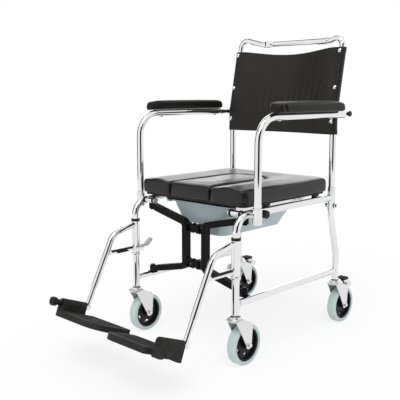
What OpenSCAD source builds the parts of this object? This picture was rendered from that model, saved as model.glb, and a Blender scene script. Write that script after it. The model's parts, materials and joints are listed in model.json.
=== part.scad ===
// Folding shower commode chair on four castors: chromed tube frame, padded seat with a lift-out insert
// over a sliding pan, flip-up arms, swing-away footrests and a hinged brace that lets the sides fold in.
// Millimetres. The floor is z = 0, the sitter faces -Y and the sitter's left is +X.

/* [Frame] */
// Outside diameter of the frame tube
tube_d = 22; // [21:0.5:24]
// Wall of every tube
tube_wall = 1.5; // [1:0.1:2]
// Width between the side frames, tube centre to tube centre
frame_w = 434; // [430:2:470]
// Height of the seat rail, tube centre above the floor
rail_z = 450; // [440:1:480]
// Length of the seat rail, front leg to back post
rail_len = 490; // [484:2:520]
// Bend where the front leg turns into the seat rail
leg_bend_r = 50; // [42:1:56]
// Height of the lower rail above the foot of the legs
lower_rail_up = 31; // [28:1:40]
// How far the rear castor stands behind the back post
rear_kick = 39; // [25:1:50]
// Straight length at the foot of the rear leg
rear_foot_len = 90; // [80:1:100]
// Height of the slanted stretch of the rear leg
rear_slant_h = 140; // [130:2:146]
// Distance of the front leg ahead of the origin
leg_ahead = 147.5; // [120:0.5:170]

/* [Castors] */
// Diameter of a wheel over its tyre
wheel_d = 125; // [110:1:128]
// Width of a tyre
wheel_w = 30; // [26:1:34]
// Height of a castor above the top of its wheel
castor_over = 36; // [34:0.5:45]
// Distance of the axle behind the swivel axis
trail = 40; // [34:1:44]
// Diameter of an axle
axle_d = 8; // [6:0.5:10]

/* [Seat] */
// Reach of the seat pad past the middle of a side rail
seat_over = 5; // [0:0.5:7]
// Distance of the pad's back edge ahead of the back post's centre line
seat_clear = 22; // [21:0.5:40]
// Thickness of the seat pad
pad_t = 46; // [36:1:60]
// Thickness of the seat board
board_t = 13.5; // [10:0.5:18]
// Width of the lift-out insert
insert_w = 168; // [150:2:186]
// Depth of the pad behind the insert
pad_behind = 122; // [110:2:150]
// Seam gap round the insert
seam_gap = 2; // [1:0.5:4]

/* [Pan] */
// Width of the pan at its rim
pan_w = 280; // [250:2:284]
// Distance of the pan's back rim ahead of the back post's centre line
pan_clear = 60; // [50:2:100]
// Height of the pan
pan_h = 96; // [76:1:104]
// Wall of the pan
pan_wall = 2.5; // [2:0.1:4]

/* [Back] */
// Height at which the back posts start to lean, above the lower edge of the sling
lean_above = 68; // [54:1:84]
// Lean of the upper back posts, in degrees
lean = 10.9; // [6:0.1:14]
// Length of a post from the top of the sling to the corner of the push bar
bar_clear = 50; // [48:1:70]
// Bend between a post and the push bar
bar_bend_r = 26; // [22:1:28]
// Lower edge of the sling above the floor
sling_bottom_z = 661; // [655:1:680]
// Height of the sling at the posts
sling_h = 284; // [250:1:320]
// Thickness of the sling
sling_t = 3; // [2:0.5:4]

/* [Arms] */
// Distance of an arm tube outside its side frame, centre to centre
arm_out = 33; // [32:0.5:50]
// Distance of an arm post behind the bend of the front leg
arm_post_past = 4; // [3:0.5:8]
// Height of the arm tube above the floor
arm_z = 729; // [722:1:740]
// Bend at the front of an arm
arm_bend_r = 75; // [50:1:85]
// Distance of the back end of an arm pad ahead of the arm's hinge bolt
arm_pad_clear = 47; // [42:1:80]
// Width of an arm pad
arm_pad_w = 46; // [40:1:60]
// Thickness of an arm pad
arm_pad_t = 33; // [25:1:40]

/* [Brace] */
// Side of the square brace tube
brace_s = 20; // [17:1:22]
// Distance of the brace behind the bend of the front leg
brace_past = 10; // [9:0.5:14]
// Spacing of the two upright bars of the brace
brace_bars = 84; // [76:2:110]
// Spacing of the two hinge pins in a brace link
link_pitch = 22; // [20:1:25]

/* [Footrests] */
// Diameter of a footrest hanger tube
hanger_d = 19; // [18:0.5:20]
// Slope of a hanger away from the upright, in degrees
hanger_slope = 27; // [25:0.5:30]
// Toe-up tilt of a footplate, in degrees
plate_tilt = 21.5; // [16:0.5:26]
// Distance of a footplate from the middle of the chair
plate_mid = 8; // [7:1:40]
// Depth of a footplate, heel to toe
plate_d = 136; // [115:1:138]
// Thickness of a footplate
plate_t = 18; // [14:1:20]

/* [Hidden] */
$fn = 64;
left = 1;
right = -1;
// Radial play of a turning fit, gap between seated pieces, slack of a sliding fit, and overrun of a cut
run_gap = 0.05;
rest_gap = 0.3;
slip = 0.4;
over = 1;
// Hairline between the lengths of a tube whose bend isn't square
hairline = 0.01;
half_w = frame_w / 2;
castor_h = wheel_d + castor_over;
arm_x = half_w + arm_out;
arm_post_y = leg_bend_r + arm_post_past;
brace_y = leg_bend_r + brace_past;
tube_r = tube_d / 2;
rail_top = rail_z + tube_r;
lower_rail_z = castor_h + lower_rail_up;
rear_y = rail_len + rear_kick;

// Sockets: a sleeve for each arm post, and one that joins rail, rear leg and back post
socket_wall = 2.4;
arm_socket_r = tube_r + slip + socket_wall;
rear_socket_r = tube_r + socket_wall;
arm_socket_below = 27;
arm_socket_above = 21;
rear_socket_below = 40;
rear_socket_above = 38;
web_w = 20;
web_h = 16;
plug_len = 7;
plug_r = 6;
bolt_cap_r = 8;
bolt_cap_t = 5;
bolt_drop = 26;

// Clamp knob on the rail, and the stub that the front of the seat rests beside
knob_r = 12.5;
knob_t = 16;
knob_stem_r = 4;
knob_behind = 54;
knob_drop = 5;
knob_lobe_r = 3.2;
knob_lobes = 6;
stub_r = 9.5;
stub_len = 47;
stub_y = 37;
stub_collar_r = 11;
stub_collar_t = 5;

// Castors: the stem turns in the foot of the leg
stem_r = tube_r - tube_wall - run_gap;
stem_len = 40;
axle_z = wheel_d / 2;
seal_r = 14;
seal_h = 8;
head_r = 23;
head_h = 9;
head_z = castor_h - rest_gap - seal_h - head_h;
fork_gap = 2.2;
fork_t = 2.6;
fork_x = wheel_w / 2 + fork_gap;
fork_top_half = 16;
fork_end_r = 12;
fork_top_rear = 20;
fork_shoulder = [[50, 12], [57, 24]];
tyre_depth = 12;
tyre_round = 5.5;
hub_r = wheel_d / 2 - tyre_depth;
hub_inset = 3;
hub_w = wheel_w - 2 * hub_inset;
hub_boss_r = 13;
hub_rim_t = 6;
hub_web_t = 8;
hub_spokes = 6;
spoke_hole_angle = 21;
axle_head_r = 7;
axle_head_t = 4;
brake_pin_r = 3;
brake_ear_r = 9;
brake_behind = 18;
brake_above = 68;
brake_pin_y = trail + brake_behind;
brake_pin_z = axle_z + brake_above;
brake_w = 30;
brake_lever = [[-23, 19], [5, 19], [27, 3], [29, -7], [20, -11], [0, -6], [-6, 0]];
pedal_t = 8;
pedal_len = 32;
pedal_ahead = 26;
pedal_up = 19;

// Seat: pad and board over the rails, saddles below, runners for the pan
seat_front = 28;
seat_w = frame_w + 2 * seat_over;
seat_d = rail_len - seat_clear - seat_front;
insert_d = seat_d - pad_behind;
board_lift = 7;
board_inset = 10;
board_corner_r = 16;
board_z = rail_top + board_lift;
pad_z = board_z + board_t;
pad_corner_r = 22;
insert_drop = 3;
insert_round_r = 62;
hole_margin = 8;
hole_w = insert_w - 2 * hole_margin;
hole_front = 16;
hole_short = 60;
hole_d = insert_d - hole_short;
saddle_t = 5;
saddle_len = 26;
saddle_front = 150;
saddle_back = 80;
runner_t = 4;
runner_lip = 12;
flange = 8;
flange_t = 4;
flange_below = 18.7;
flange_z = board_z - flange_below;
pan_front = 80;
pan_len = rail_len - pan_clear - pan_front;
pan_taper_x = 56;
pan_taper_front = 12;
pan_taper_rear = 38;
pan_rim_r = 40;
pan_floor_r = 30;
pan_z = flange_z + flange_t - pan_h;
crown = 6;
// Side of a cushion: how far each point lies in from the edge, and its share of the height
edge_in = [3, 0.5, 0, 1.2, 4.5, 11, 24];
edge_up_shares = [0, 0.18, 0.5, 0.76, 0.9, 0.98, 1];
front_up_shares = [0.84, 0.95, 1];
arc_steps = 6;
side_steps = 5;

// Back: posts in the rear sockets, push bar in three lengths, sling across
post_foot_up = 1;
post_foot_z = rail_z + post_foot_up;
lean_ahead = 3;
lean_z = sling_bottom_z + lean_above;
lean_y = rail_len - lean_ahead;
lean_start = 30;
lean_bend_r = 150;
bar_drop = 26;
lean_len = (sling_h - lean_above) / cos(lean) + bar_clear;
bar_rise = lean_len - bar_drop;
bar_level_len = 20;
bar_level_r = 16;
bar_pin_in = 135;
bar_latch_in = 64;
bar_pin_x = half_w - bar_pin_in;
bar_latch_x = half_w - bar_latch_in;
bar_pin_r = 4;
bar_pin_head_r = 7;
bar_pin_head_t = 3;
tongue_t = 8;
tongue_r = 10;
tongue_len = 15;
cheek_t = 6;
bar_plug_t = 6;
cradle_len = 30;
cradle_wall = 2.5;
collar_bar_r = tube_r + rest_gap + cradle_wall;
sling_sag = 16;
sling_belly = 22;
sling_cols = 14;
sling_low_rows = 3;
sling_high_rows = 6;
sling_rows = sling_low_rows + sling_high_rows;
sling_gap = 0.5;
sling_r = tube_r + sling_gap;
wrap_steps = 5;
snap_r = 7;
snap_t = 2.5;
snap_rise_shares = [0.15, 0.53, 0.95];

// Arms: hinge behind the back post, pad outboard of the post
arm_hinge_behind = 22;
arm_hinge_y = rail_len + arm_hinge_behind;
arm_end_past = 13;
hinge_block_h = 28;
hinge_block_past = 12;
hinge_bolt_r = 4;
hinge_cap_r = 9;
hinge_cap_t = 5;
arm_pad_front = 105;
arm_pad_len = arm_hinge_y - arm_pad_clear - arm_pad_front;
arm_pad_in = 11;
arm_pad_sides = 20;
pad_ring_in = [0, 2, 7, 16, 30, 50];
pad_ring_shares = [0.5, 0.68, 0.84, 0.94, 0.99, 1];
pad_flat_share = 0.5;

// Brace: two bent halves, hinged to the frame and to each other on upright pins
pivot_in = 17;
pivot_x = half_w - pivot_in;
pivot_r = 4;
pivot_boss_r = 11;
pivot_boss_h = 20;
pivot_head_r = 7;
pivot_head_t = 4;
bracket_t = 4;
bar_inset = 58;
bar_top_z = rail_z - bar_inset;
bar_bottom_z = lower_rail_z + bar_inset;
upper_pivot_z = rail_z - tube_r - pivot_boss_h / 2 - rest_gap;
lower_pivot_z = lower_rail_z + tube_r + pivot_boss_h / 2 + rest_gap;
brace_bend_r = 18;
link_h = 20;
link_r = 8.5;
ear_t = 4;
link_inset = 14;
link_bolt_r = 3;
link_head_r = 5;
link_head_t = 3.5;

// Footrests: a sleeve that turns on the front leg, a sloping hanger and a sliding extension
sleeve_wall = 2.5;
sleeve_r = tube_r + run_gap + sleeve_wall;
sleeve_up = 116;
sleeve_z = castor_h + sleeve_up;
sleeve_h = 104;
collar_r = 14;
collar_h = 8;
hanger_below = 8;
hanger_top_z = sleeve_z + sleeve_h - hanger_below;
hanger_out = 95;
hanger_fall = 22;
hanger_bend_r = 45;
hanger_len = 178;
ext_r = hanger_d / 2 - tube_wall - slip / 2;
ext_hidden = 90;
ext_shown = 65;
pivot_tube_r = 9;
plate_boss_wall = 5;
plate_boss_r = pivot_tube_r + run_gap + plate_boss_wall;
boss_start = 10;
boss_len = 90;
block_foot = 6;
block_foot_len = 16;
block_toe = 3;
notch_past = 8;
notch_in = 2;
left_lower = 9;
plate_heel = 15;
plate_drop = 21;
plate_corner_r = 14;
plate_toe_r = 60;
plate_past = 13;
plate_w = half_w + plate_past - plate_mid;
pivot_tube_len = 124;
cap_r = 12.5;
cap_t = 12;
latch_bar_w = 6;
latch_bar_h = 12;
latch_up = 8;
latch_bar_z = sleeve_z + latch_up;
latch_box = 18;
latch_pin_r = 2.5;
lever_t = 8;
lever_len = 30;
lever_w = 13;
paddle_len = 26;
paddle_w = 11;
paddle_t = 11;
paddle_rise = 40;

// Directions and turns in a drawing plane
function unit(v) = v / norm(v);
function turn_at(a, b, c) =
    let (u = unit(b - a), w = unit(c - b)) atan2(u[0] * w[1] - u[1] * w[0], u[0] * w[0] + u[1] * w[1]);
function trim_at(path, radii, i) =
    (i == 0 || i == len(path) - 1) ? 0
    : radii[i - 1] * tan(abs(turn_at(path[i - 1], path[i], path[i + 1])) / 2);
function seam_at(path, i) =
    (i == 0 || i == len(path) - 1 || abs(turn_at(path[i - 1], path[i], path[i + 1])) == 90) ? 0 : hairline;
function arc(centre, r, from, to, steps) =
    [for (i = [0 : steps]) let (a = from + (to - from) * i / steps) centre + r * [cos(a), sin(a)]];

// Everything is drawn from the front leg, then shifted to the chair's own origin
module placed() { translate([0, -leg_ahead, 0]) children(); }

// One side's pieces are drawn on the sitter's left and mirrored for the right
module on_side(side) { if (side == right) mirror([1, 0, 0]) children(); else children(); }

// The x and y of a drawing plane become Y and Z, or X and Z
module in_yz(x) { translate([x, 0, 0]) rotate([90, 0, 90]) children(); }
module in_xz(y) { translate([0, y, 0]) rotate([90, 0, 0]) children(); }
module along_x(length) { rotate([0, 90, 0]) linear_extrude(length) children(); }
module along_y(length) { rotate([-90, 0, 0]) linear_extrude(length) children(); }

module ring_2d(r, wall) {
    difference() {
        circle(r);
        circle(r - wall);
    }
}

module rounded_2d(w, d, r) {
    for (x = [r, w - r], y = [r, d - r]) translate([x, y]) circle(r);
    translate([r, 0]) square([w - 2 * r, d]);
    translate([0, r]) square([w, d - 2 * r]);
}

// A section carried along a bent line in the drawing plane, with a radius at each corner
module bent(path, radii) {
    for (i = [0 : len(path) - 2]) {
        u = unit(path[i + 1] - path[i]);
        from = trim_at(path, radii, i) + seam_at(path, i);
        to = norm(path[i + 1] - path[i]) - trim_at(path, radii, i + 1) - seam_at(path, i + 1);
        start = path[i] + u * from;
        translate([start[0], start[1], 0]) rotate([0, 0, atan2(u[1], u[0])]) rotate([90, 0, 90])
            linear_extrude(to - from) children();
    }
    for (i = [1 : 1 : len(path) - 2]) {
        turn = turn_at(path[i - 1], path[i], path[i + 1]);
        u = unit(path[i] - path[i - 1]);
        start = path[i] - u * trim_at(path, radii, i);
        centre = start + sign(turn) * radii[i - 1] * [-u[1], u[0]];
        from = atan2(start[1] - centre[1], start[0] - centre[0]);
        translate([centre[0], centre[1], 0]) rotate([0, 0, turn > 0 ? from : from + turn])
            rotate_extrude(angle = abs(turn)) translate([radii[i - 1], 0]) children();
    }
}

// A closed skin of triangles over rings with equal numbers of points
module loft(rings) {
    n = len(rings[0]);
    last = len(rings) - 1;
    points = concat([for (ring = rings) each ring], [mean(rings[0]), mean(rings[last])]);
    foot = len(points) - 2;
    polyhedron(points, concat(
        [for (r = [0 : last - 1], i = [0 : n - 1]) each
            quad(r * n + i, r * n + (i + 1) % n, (r + 1) * n + (i + 1) % n, (r + 1) * n + i)],
        [for (i = [0 : n - 1]) [foot, i, (i + 1) % n]],
        [for (i = [0 : n - 1]) [foot + 1, last * n + (i + 1) % n, last * n + i]]));
}
function mean(ring) = [for (k = [0 : 2]) [for (p = ring) p[k]] * [for (p = ring) 1] / len(ring)];
function quad(a, b, c, d) = [[a, c, b], [a, d, c]];

// Frame: leg and seat rail are one bent tube, and the other tubes are notched against it
leg_path = [[0, castor_h], [0, rail_z], [rail_len, rail_z]];
rear_path = [[rear_y, castor_h], [rear_y, castor_h + rear_foot_len],
    [rail_len, castor_h + rear_foot_len + rear_slant_h], [rail_len, rail_z]];

module rear_socket_space(r) {
    translate([half_w, rail_len, rail_z - rear_socket_below - over])
        cylinder(h = rear_socket_below + rear_socket_above + 2 * over, r = r);
}

module knob_place() { translate([half_w, arm_post_y + knob_behind, rail_z - knob_drop]) children(); }

module seat_rail(side) color("gainsboro") placed() on_side(side) difference() {
    in_yz(half_w) bent(leg_path, [leg_bend_r]) ring_2d(tube_r, tube_wall);
    knob_place() along_x(tube_d) circle(knob_stem_r + run_gap);
    rear_socket_space(rear_socket_r);
}

module lower_rail(side) color("gainsboro") placed() on_side(side) difference() {
    translate([half_w, 0, lower_rail_z]) along_y(rear_y) ring_2d(tube_r, tube_wall);
    for (y = [0, rear_y]) translate([half_w, y, castor_h]) cylinder(h = lower_rail_up + tube_d, r = tube_r);
}

module rear_leg(side) color("gainsboro") placed() on_side(side)
    in_yz(half_w) bent(rear_path, [leg_bend_r, leg_bend_r]) ring_2d(tube_r, tube_wall);

// Arm socket with its web to the rail, and rear socket with its capped bolt
module frame_sockets(side) placed() on_side(side) {
    color("silver") difference() {
        union() {
            translate([arm_x, arm_post_y, rail_z - arm_socket_below])
                cylinder(h = arm_socket_below + arm_socket_above, r = arm_socket_r);
            translate([half_w, arm_post_y - web_w / 2, rail_z - web_h / 2])
                cube([arm_x - half_w, web_w, web_h]);
        }
        translate([arm_x, arm_post_y, rail_z - arm_socket_below - over])
            cylinder(h = arm_socket_below + arm_socket_above + 2 * over, r = tube_r + slip);
        translate([half_w, 0, rail_z]) along_y(rail_len) circle(tube_r);
    }
    color("silver") difference() {
        translate([half_w, rail_len, rail_z - rear_socket_below])
            cylinder(h = rear_socket_below + rear_socket_above, r = rear_socket_r);
        rear_socket_space(tube_r);
    }
    color("black") difference() {
        translate([half_w - rear_socket_r - bolt_cap_t, rail_len, rail_z - bolt_drop])
            along_x(2 * (rear_socket_r + bolt_cap_t)) circle(bolt_cap_r);
        rear_socket_space(tube_r);
    }
}

module seat_stub(side) placed() on_side(side) difference() {
    translate([half_w - tube_r - stub_len, stub_y, rail_z]) {
        color("gainsboro") along_x(stub_len + tube_r) circle(stub_r);
        color("black") for (x = [stub_collar_t, stub_len - stub_collar_t])
            translate([x, 0, 0]) along_x(stub_collar_t) circle(stub_collar_r);
    }
    in_yz(half_w) bent(leg_path, [leg_bend_r]) circle(tube_r);
}

module lock_knob(side) color("black") placed() on_side(side) knob_place() {
    translate([tube_r + rest_gap, 0, 0]) along_x(knob_t) union() {
        circle(knob_r - knob_lobe_r / 2);
        for (i = [0 : knob_lobes - 1]) rotate(i * 360 / knob_lobes) translate([knob_r - knob_lobe_r, 0])
            circle(knob_lobe_r);
    }
    along_x(tube_d) circle(knob_stem_r);
}

module leg_collars(side) color("black") placed() on_side(side)
    for (z = [sleeve_z - rest_gap - collar_h, sleeve_z + sleeve_h + rest_gap])
        translate([half_w, 0, z]) linear_extrude(collar_h) ring_2d(collar_r, collar_r - tube_r);

// Back: the upper post and the push bar lie in a leaning plane, with x across and y up the lean
module leaning() { translate([0, lean_y, lean_z]) rotate([90 - lean, 0, 0]) children(); }

module upright_pin(r, half) { translate([0, 0, -half]) cylinder(h = 2 * half, r = r); }

module back_post(side) color("gainsboro") placed() on_side(side) {
    end_x = side == left ? bar_latch_x : bar_pin_x + tongue_len;
    in_yz(half_w) bent([[rail_len, post_foot_z], [lean_y, lean_z],
        [lean_y + lean_start * sin(lean), lean_z + lean_start * cos(lean)]], [lean_bend_r])
        ring_2d(tube_r, tube_wall);
    leaning() {
        bent([[half_w, lean_start + hairline], [half_w, lean_len], [end_x + bar_level_len, bar_rise],
            [end_x + bar_plug_t + hairline, bar_rise]], [bar_bend_r, bar_level_r]) ring_2d(tube_r, tube_wall);
        translate([end_x, bar_rise, 0]) along_x(bar_plug_t) circle(collar_bar_r);
        if (side == left) translate([bar_latch_x - cradle_len, bar_rise, 0]) cradle();
        if (side == right) translate([bar_pin_x, bar_rise, 0]) bar_fork();
    }
}

// Half sleeve, open at the top, that the free end of the push bar drops into
module cradle() {
    difference() {
        along_x(cradle_len) ring_2d(collar_bar_r, cradle_wall);
        translate([-over, 0, -tube_d]) cube([cradle_len + 2 * over, tube_d, 2 * tube_d]);
    }
}

// Two cheeks and a pin that carry the hinged end of the push bar
module bar_fork() {
    for (z = [-tongue_t / 2 - rest_gap - cheek_t, tongue_t / 2 + rest_gap]) translate([0, 0, z])
        linear_extrude(cheek_t) {
            circle(tongue_r);
            translate([0, -tongue_r]) square([tongue_len, 2 * tongue_r]);
        }
    upright_pin(bar_pin_r, tongue_t / 2 + rest_gap + cheek_t + bar_pin_head_t);
    for (z = [-1, 1]) translate([0, 0, z * (tongue_t / 2 + rest_gap + cheek_t + bar_pin_head_t / 2)])
        upright_pin(bar_pin_head_r, bar_pin_head_t / 2);
}

module push_bar_link() color("gainsboro") placed() leaning() translate([-bar_pin_x, bar_rise, 0]) {
    difference() {
        translate([0, 0, -tongue_t / 2]) linear_extrude(tongue_t) {
            circle(tongue_r);
            translate([0, -tongue_r]) square([tongue_len, 2 * tongue_r]);
        }
        upright_pin(bar_pin_r + run_gap, tongue_t);
    }
    translate([tongue_len, 0, 0]) along_x(bar_plug_t) circle(tube_r);
    translate([tongue_len + bar_plug_t, 0, 0])
        along_x(bar_pin_x + bar_latch_x - tongue_len - 2 * bar_plug_t - over) ring_2d(tube_r, tube_wall);
    translate([bar_pin_x + bar_latch_x - bar_plug_t - over, 0, 0]) along_x(bar_plug_t) circle(tube_r);
}

// Sling: wraps the front half of each post and bellies back between them
function post_y(z) = z < lean_z ? lean_y + (rail_len - lean_y) * (lean_z - z) / (lean_z - post_foot_z)
    : lean_y + (z - lean_z) * tan(lean);
function front_reach(z, r) = z < lean_z ? r : r / cos(lean);
function sling_line(z, r) = concat(
    [for (i = [0 : wrap_steps]) let (a = 90 * i / wrap_steps)
        [half_w + r * cos(a), post_y(z) - front_reach(z, r) * sin(a)]],
    [for (i = [1 : sling_cols - 1]) let (x = half_w * (1 - 2 * i / sling_cols))
        [x, post_y(z) - front_reach(z, r) + sling_belly * (1 - pow(x / half_w, 2))]],
    [for (i = [wrap_steps : -1 : 0]) let (a = 90 * i / wrap_steps)
        [-half_w - r * cos(a), post_y(z) - front_reach(z, r) * sin(a)]]);
function sling_row(share, r) = let (z = sling_bottom_z + sling_h * share)
    [for (p = sling_line(z, r))
        [p[0], p[1], z - sling_sag * share * share * max(0, 1 - pow(p[0] / half_w, 2))]];

module back_sling() color("#2b2726") placed() {
    bend_share = lean_above / sling_h;
    rows = concat([for (k = [0 : sling_low_rows - 1]) bend_share * k / sling_low_rows],
        [for (k = [0 : sling_high_rows]) bend_share + (1 - bend_share) * k / sling_high_rows]);
    n = len(sling_row(0, sling_r));
    skin = n * len(rows);
    points = concat([for (s = rows) each sling_row(s, sling_r + sling_t)],
        [for (s = rows) each sling_row(s, sling_r)]);
    polyhedron(points, concat(
        [for (r = [0 : sling_rows - 1], i = [0 : n - 2]) let (a = r * n + i) each concat(
            quad(a + 1, a, a + n, a + n + 1), quad(skin + a, skin + a + 1, skin + a + n + 1, skin + a + n))],
        [for (i = [0 : n - 2]) let (t = sling_rows * n + i) each concat(
            quad(i, i + 1, skin + i + 1, skin + i), quad(t + 1, t, skin + t, skin + t + 1))],
        [for (r = [0 : sling_rows - 1]) let (a = r * n, b = a + n - 1) each concat(
            quad(a + n, a, skin + a, skin + a + n), quad(b, b + n, skin + b + n, skin + b))]));
}

module sling_snaps(side) color("silver") placed() on_side(side) for (s = snap_rise_shares)
    let (z = sling_bottom_z + sling_h * s)
        translate([half_w, post_y(z), z]) rotate([z < lean_z ? 0 : -lean, 0, 0])
            translate([0, -sling_r - sling_t - rest_gap - snap_t, 0]) along_y(snap_t) circle(snap_r);

// Arms: a hinge block behind the post carries the bolt that the arm flips up on
module arm_hinge(side) placed() on_side(side) {
    color("black") difference() {
        translate([half_w - tube_r, lean_y, arm_z - hinge_block_h / 2])
            cube([arm_x - half_w - rest_gap, arm_hinge_y + hinge_block_past - lean_y, hinge_block_h]);
        translate([half_w - tube_d, lean_y - tube_d, arm_z - hinge_block_h])
            cube([2 * tube_d, tube_d + sling_t + over, 2 * hinge_block_h]);
        in_yz(half_w) bent([[rail_len, post_foot_z], [lean_y, lean_z],
            [lean_y + lean_start * sin(lean), lean_z + lean_start * cos(lean)]], [lean_bend_r])
            circle(tube_r);
    }
    color("silver") translate([arm_x - tube_r - rest_gap, arm_hinge_y, arm_z]) {
        along_x(tube_d + 2 * rest_gap) circle(hinge_bolt_r);
        translate([tube_d + 2 * rest_gap, 0, 0]) along_x(hinge_cap_t) circle(hinge_cap_r);
    }
}

module arm_tube(side) color("gainsboro") placed() on_side(side) {
    foot_z = rail_z + arm_socket_above + rest_gap;
    difference() {
        union() {
            in_yz(arm_x) bent([[arm_post_y, foot_z], [arm_post_y, arm_z], [arm_hinge_y, arm_z]], [arm_bend_r])
                ring_2d(tube_r, tube_wall);
            translate([arm_x, arm_hinge_y - tube_r, arm_z]) along_y(tube_r + arm_end_past) circle(tube_r);
        }
        translate([arm_x - tube_d, arm_hinge_y, arm_z]) along_x(2 * tube_d) circle(hinge_bolt_r + run_gap);
    }
    translate([arm_x, arm_post_y, foot_z]) cylinder(h = tube_wall, r = tube_r);
    translate([arm_x, arm_post_y, foot_z - plug_len])
        cylinder(h = plug_len, r1 = plug_r - tube_wall, r2 = plug_r);
}

// Arm pad: a padded bar with rounded ends and a flat underside
function pad_ring(y, share) = [for (i = [0 : arm_pad_sides - 1]) let (
    a = 360 * i / arm_pad_sides,
    c = sign(cos(a)) * pow(abs(cos(a)), pad_flat_share),
    s = sign(sin(a)) * pow(abs(sin(a)), pad_flat_share))
    [arm_x - arm_pad_in + arm_pad_w / 2 * (1 + c * share), y,
        arm_z + tube_r + rest_gap + arm_pad_t / 2 * (share + s * share)]];

module arm_pad(side) color("#1c1c1c") placed() on_side(side) {
    n = len(pad_ring_in) - 1;
    back = arm_pad_front + arm_pad_len;
    loft(concat([for (i = [0 : n]) pad_ring(arm_pad_front + pad_ring_in[i], pad_ring_shares[i])],
        [for (i = [n : -1 : 0]) pad_ring(back - pad_ring_in[i], pad_ring_shares[i])]));
}

// Brace: each half is a bent square tube with pivot bosses at the frame and ears at the middle
bars_x = brace_bars / 2;
link_x = link_pitch / 2;
link_levels = [bar_top_z - link_inset, bar_bottom_z + link_inset];

module brace_brackets(side) color("#1a1a1a") placed() on_side(side) {
    difference() {
        union() {
            for (z = [rail_z - tube_r, lower_rail_z + tube_r - bracket_t])
                translate([pivot_x - pivot_boss_r, brace_y - pivot_boss_r, z])
                    cube([half_w - pivot_x + pivot_boss_r, 2 * pivot_boss_r, bracket_t]);
        }
        for (z = [rail_z, lower_rail_z]) translate([half_w, 0, z]) along_y(rail_len) circle(tube_r);
    }
    translate([pivot_x, brace_y, upper_pivot_z - pivot_boss_h / 2 - rest_gap - pivot_head_t]) {
        cylinder(h = pivot_boss_h + 2 * rest_gap + pivot_head_t + bracket_t / 2, r = pivot_r);
        cylinder(h = pivot_head_t, r = pivot_head_r);
    }
    translate([pivot_x, brace_y, lower_pivot_z - pivot_boss_h / 2 - rest_gap - bracket_t / 2]) {
        cylinder(h = pivot_boss_h + 2 * rest_gap + pivot_head_t + bracket_t / 2, r = pivot_r);
        translate([0, 0, pivot_boss_h + 2 * rest_gap + bracket_t / 2])
            cylinder(h = pivot_head_t, r = pivot_head_r);
    }
}

module brace_half(side) color("#1a1a1a") placed() on_side(side) difference() {
    union() {
        in_xz(brace_y) bent([[pivot_x, upper_pivot_z], [bars_x, bar_top_z], [bars_x, bar_bottom_z],
            [pivot_x, lower_pivot_z]], [brace_bend_r, brace_bend_r]) square(brace_s, center = true);
        for (z = [upper_pivot_z, lower_pivot_z]) translate([pivot_x, brace_y, z])
            upright_pin(pivot_boss_r, pivot_boss_h / 2);
        for (z = link_levels, e = [-1, 1])
            translate([link_x, brace_y, z + e * (link_h / 2 + rest_gap + ear_t / 2) - ear_t / 2])
            linear_extrude(ear_t) {
                circle(link_r);
                translate([0, -link_r]) square([bars_x - link_x, 2 * link_r]);
            }
    }
    for (z = [upper_pivot_z, lower_pivot_z]) translate([pivot_x, brace_y, z]) {
        upright_pin(pivot_r + run_gap, pivot_boss_h);
        for (e = [-1, 1]) translate([0, 0, e * pivot_boss_h]) upright_pin(brace_s, pivot_boss_h / 2);
    }
    for (z = link_levels) translate([link_x, brace_y, z]) upright_pin(link_bolt_r + run_gap, link_h);
}

module brace_links() color("#1a1a1a") placed() for (z = link_levels) difference() {
    translate([0, brace_y, z - link_h / 2]) linear_extrude(link_h) {
        for (x = [-link_x, link_x]) translate([x, 0]) circle(link_r);
        translate([-link_x, -link_r]) square([link_pitch, 2 * link_r]);
    }
    for (x = [-link_x, link_x]) translate([x, brace_y, z]) upright_pin(link_bolt_r + run_gap, link_h);
}

module link_bolts() color("silver") placed() for (z = link_levels, x = [-link_x, link_x])
    translate([x, brace_y, z]) {
        upright_pin(link_bolt_r, link_h / 2 + ear_t + 2 * rest_gap);
        translate([0, 0, link_h / 2 + ear_t + 2 * rest_gap]) cylinder(h = link_head_t, r = link_head_r);
        translate([0, 0, -link_h / 2 - ear_t - 2 * rest_gap - link_head_t])
            cylinder(h = link_head_t, r = link_head_r);
    }

// Seat: the board carries the horseshoe pad, the insert, the saddles and the pan's runners
module seat_board() color("#33302e") placed() translate([0, seat_front, board_z])
linear_extrude(board_t) difference() {
    translate([board_inset - seat_w / 2, board_inset])
        rounded_2d(seat_w - 2 * board_inset, seat_d - 2 * board_inset, board_corner_r);
    translate([-hole_w / 2, board_inset + hole_front]) rounded_2d(hole_w, hole_d, insert_round_r);
}

// Half of the pad's plan, from the front seam round to the middle of the back: outer point, inner point
inner_x = insert_w / 2 + seam_gap;
inner_back = insert_d + seam_gap;
inner_r = insert_round_r + seam_gap;
half_plan = concat(
    [for (i = [0 : arc_steps]) [
        arc([pad_corner_r - seat_w / 2, pad_corner_r], pad_corner_r, 270, 180, arc_steps)[i],
        [-inner_x, pad_corner_r * i / arc_steps]]],
    [for (i = [1 : side_steps]) let (t = i / side_steps) [
        [-seat_w / 2, pad_corner_r + (seat_d - 2 * pad_corner_r) * t],
        [-inner_x, pad_corner_r + (inner_back - inner_r - pad_corner_r) * t]]],
    [for (i = [1 : arc_steps]) [
        arc([pad_corner_r - seat_w / 2, seat_d - pad_corner_r], pad_corner_r, 180, 90, arc_steps)[i],
        arc([inner_r - inner_x, inner_back - inner_r], inner_r, 180, 90, arc_steps)[i]]],
    [[[0, seat_d], [0, inner_back]]]);
pad_plan = concat(half_plan, [for (i = [len(half_plan) - 2 : -1 : 0])
    [for (p = half_plan[i]) [-p[0], p[1]]]]);

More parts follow.
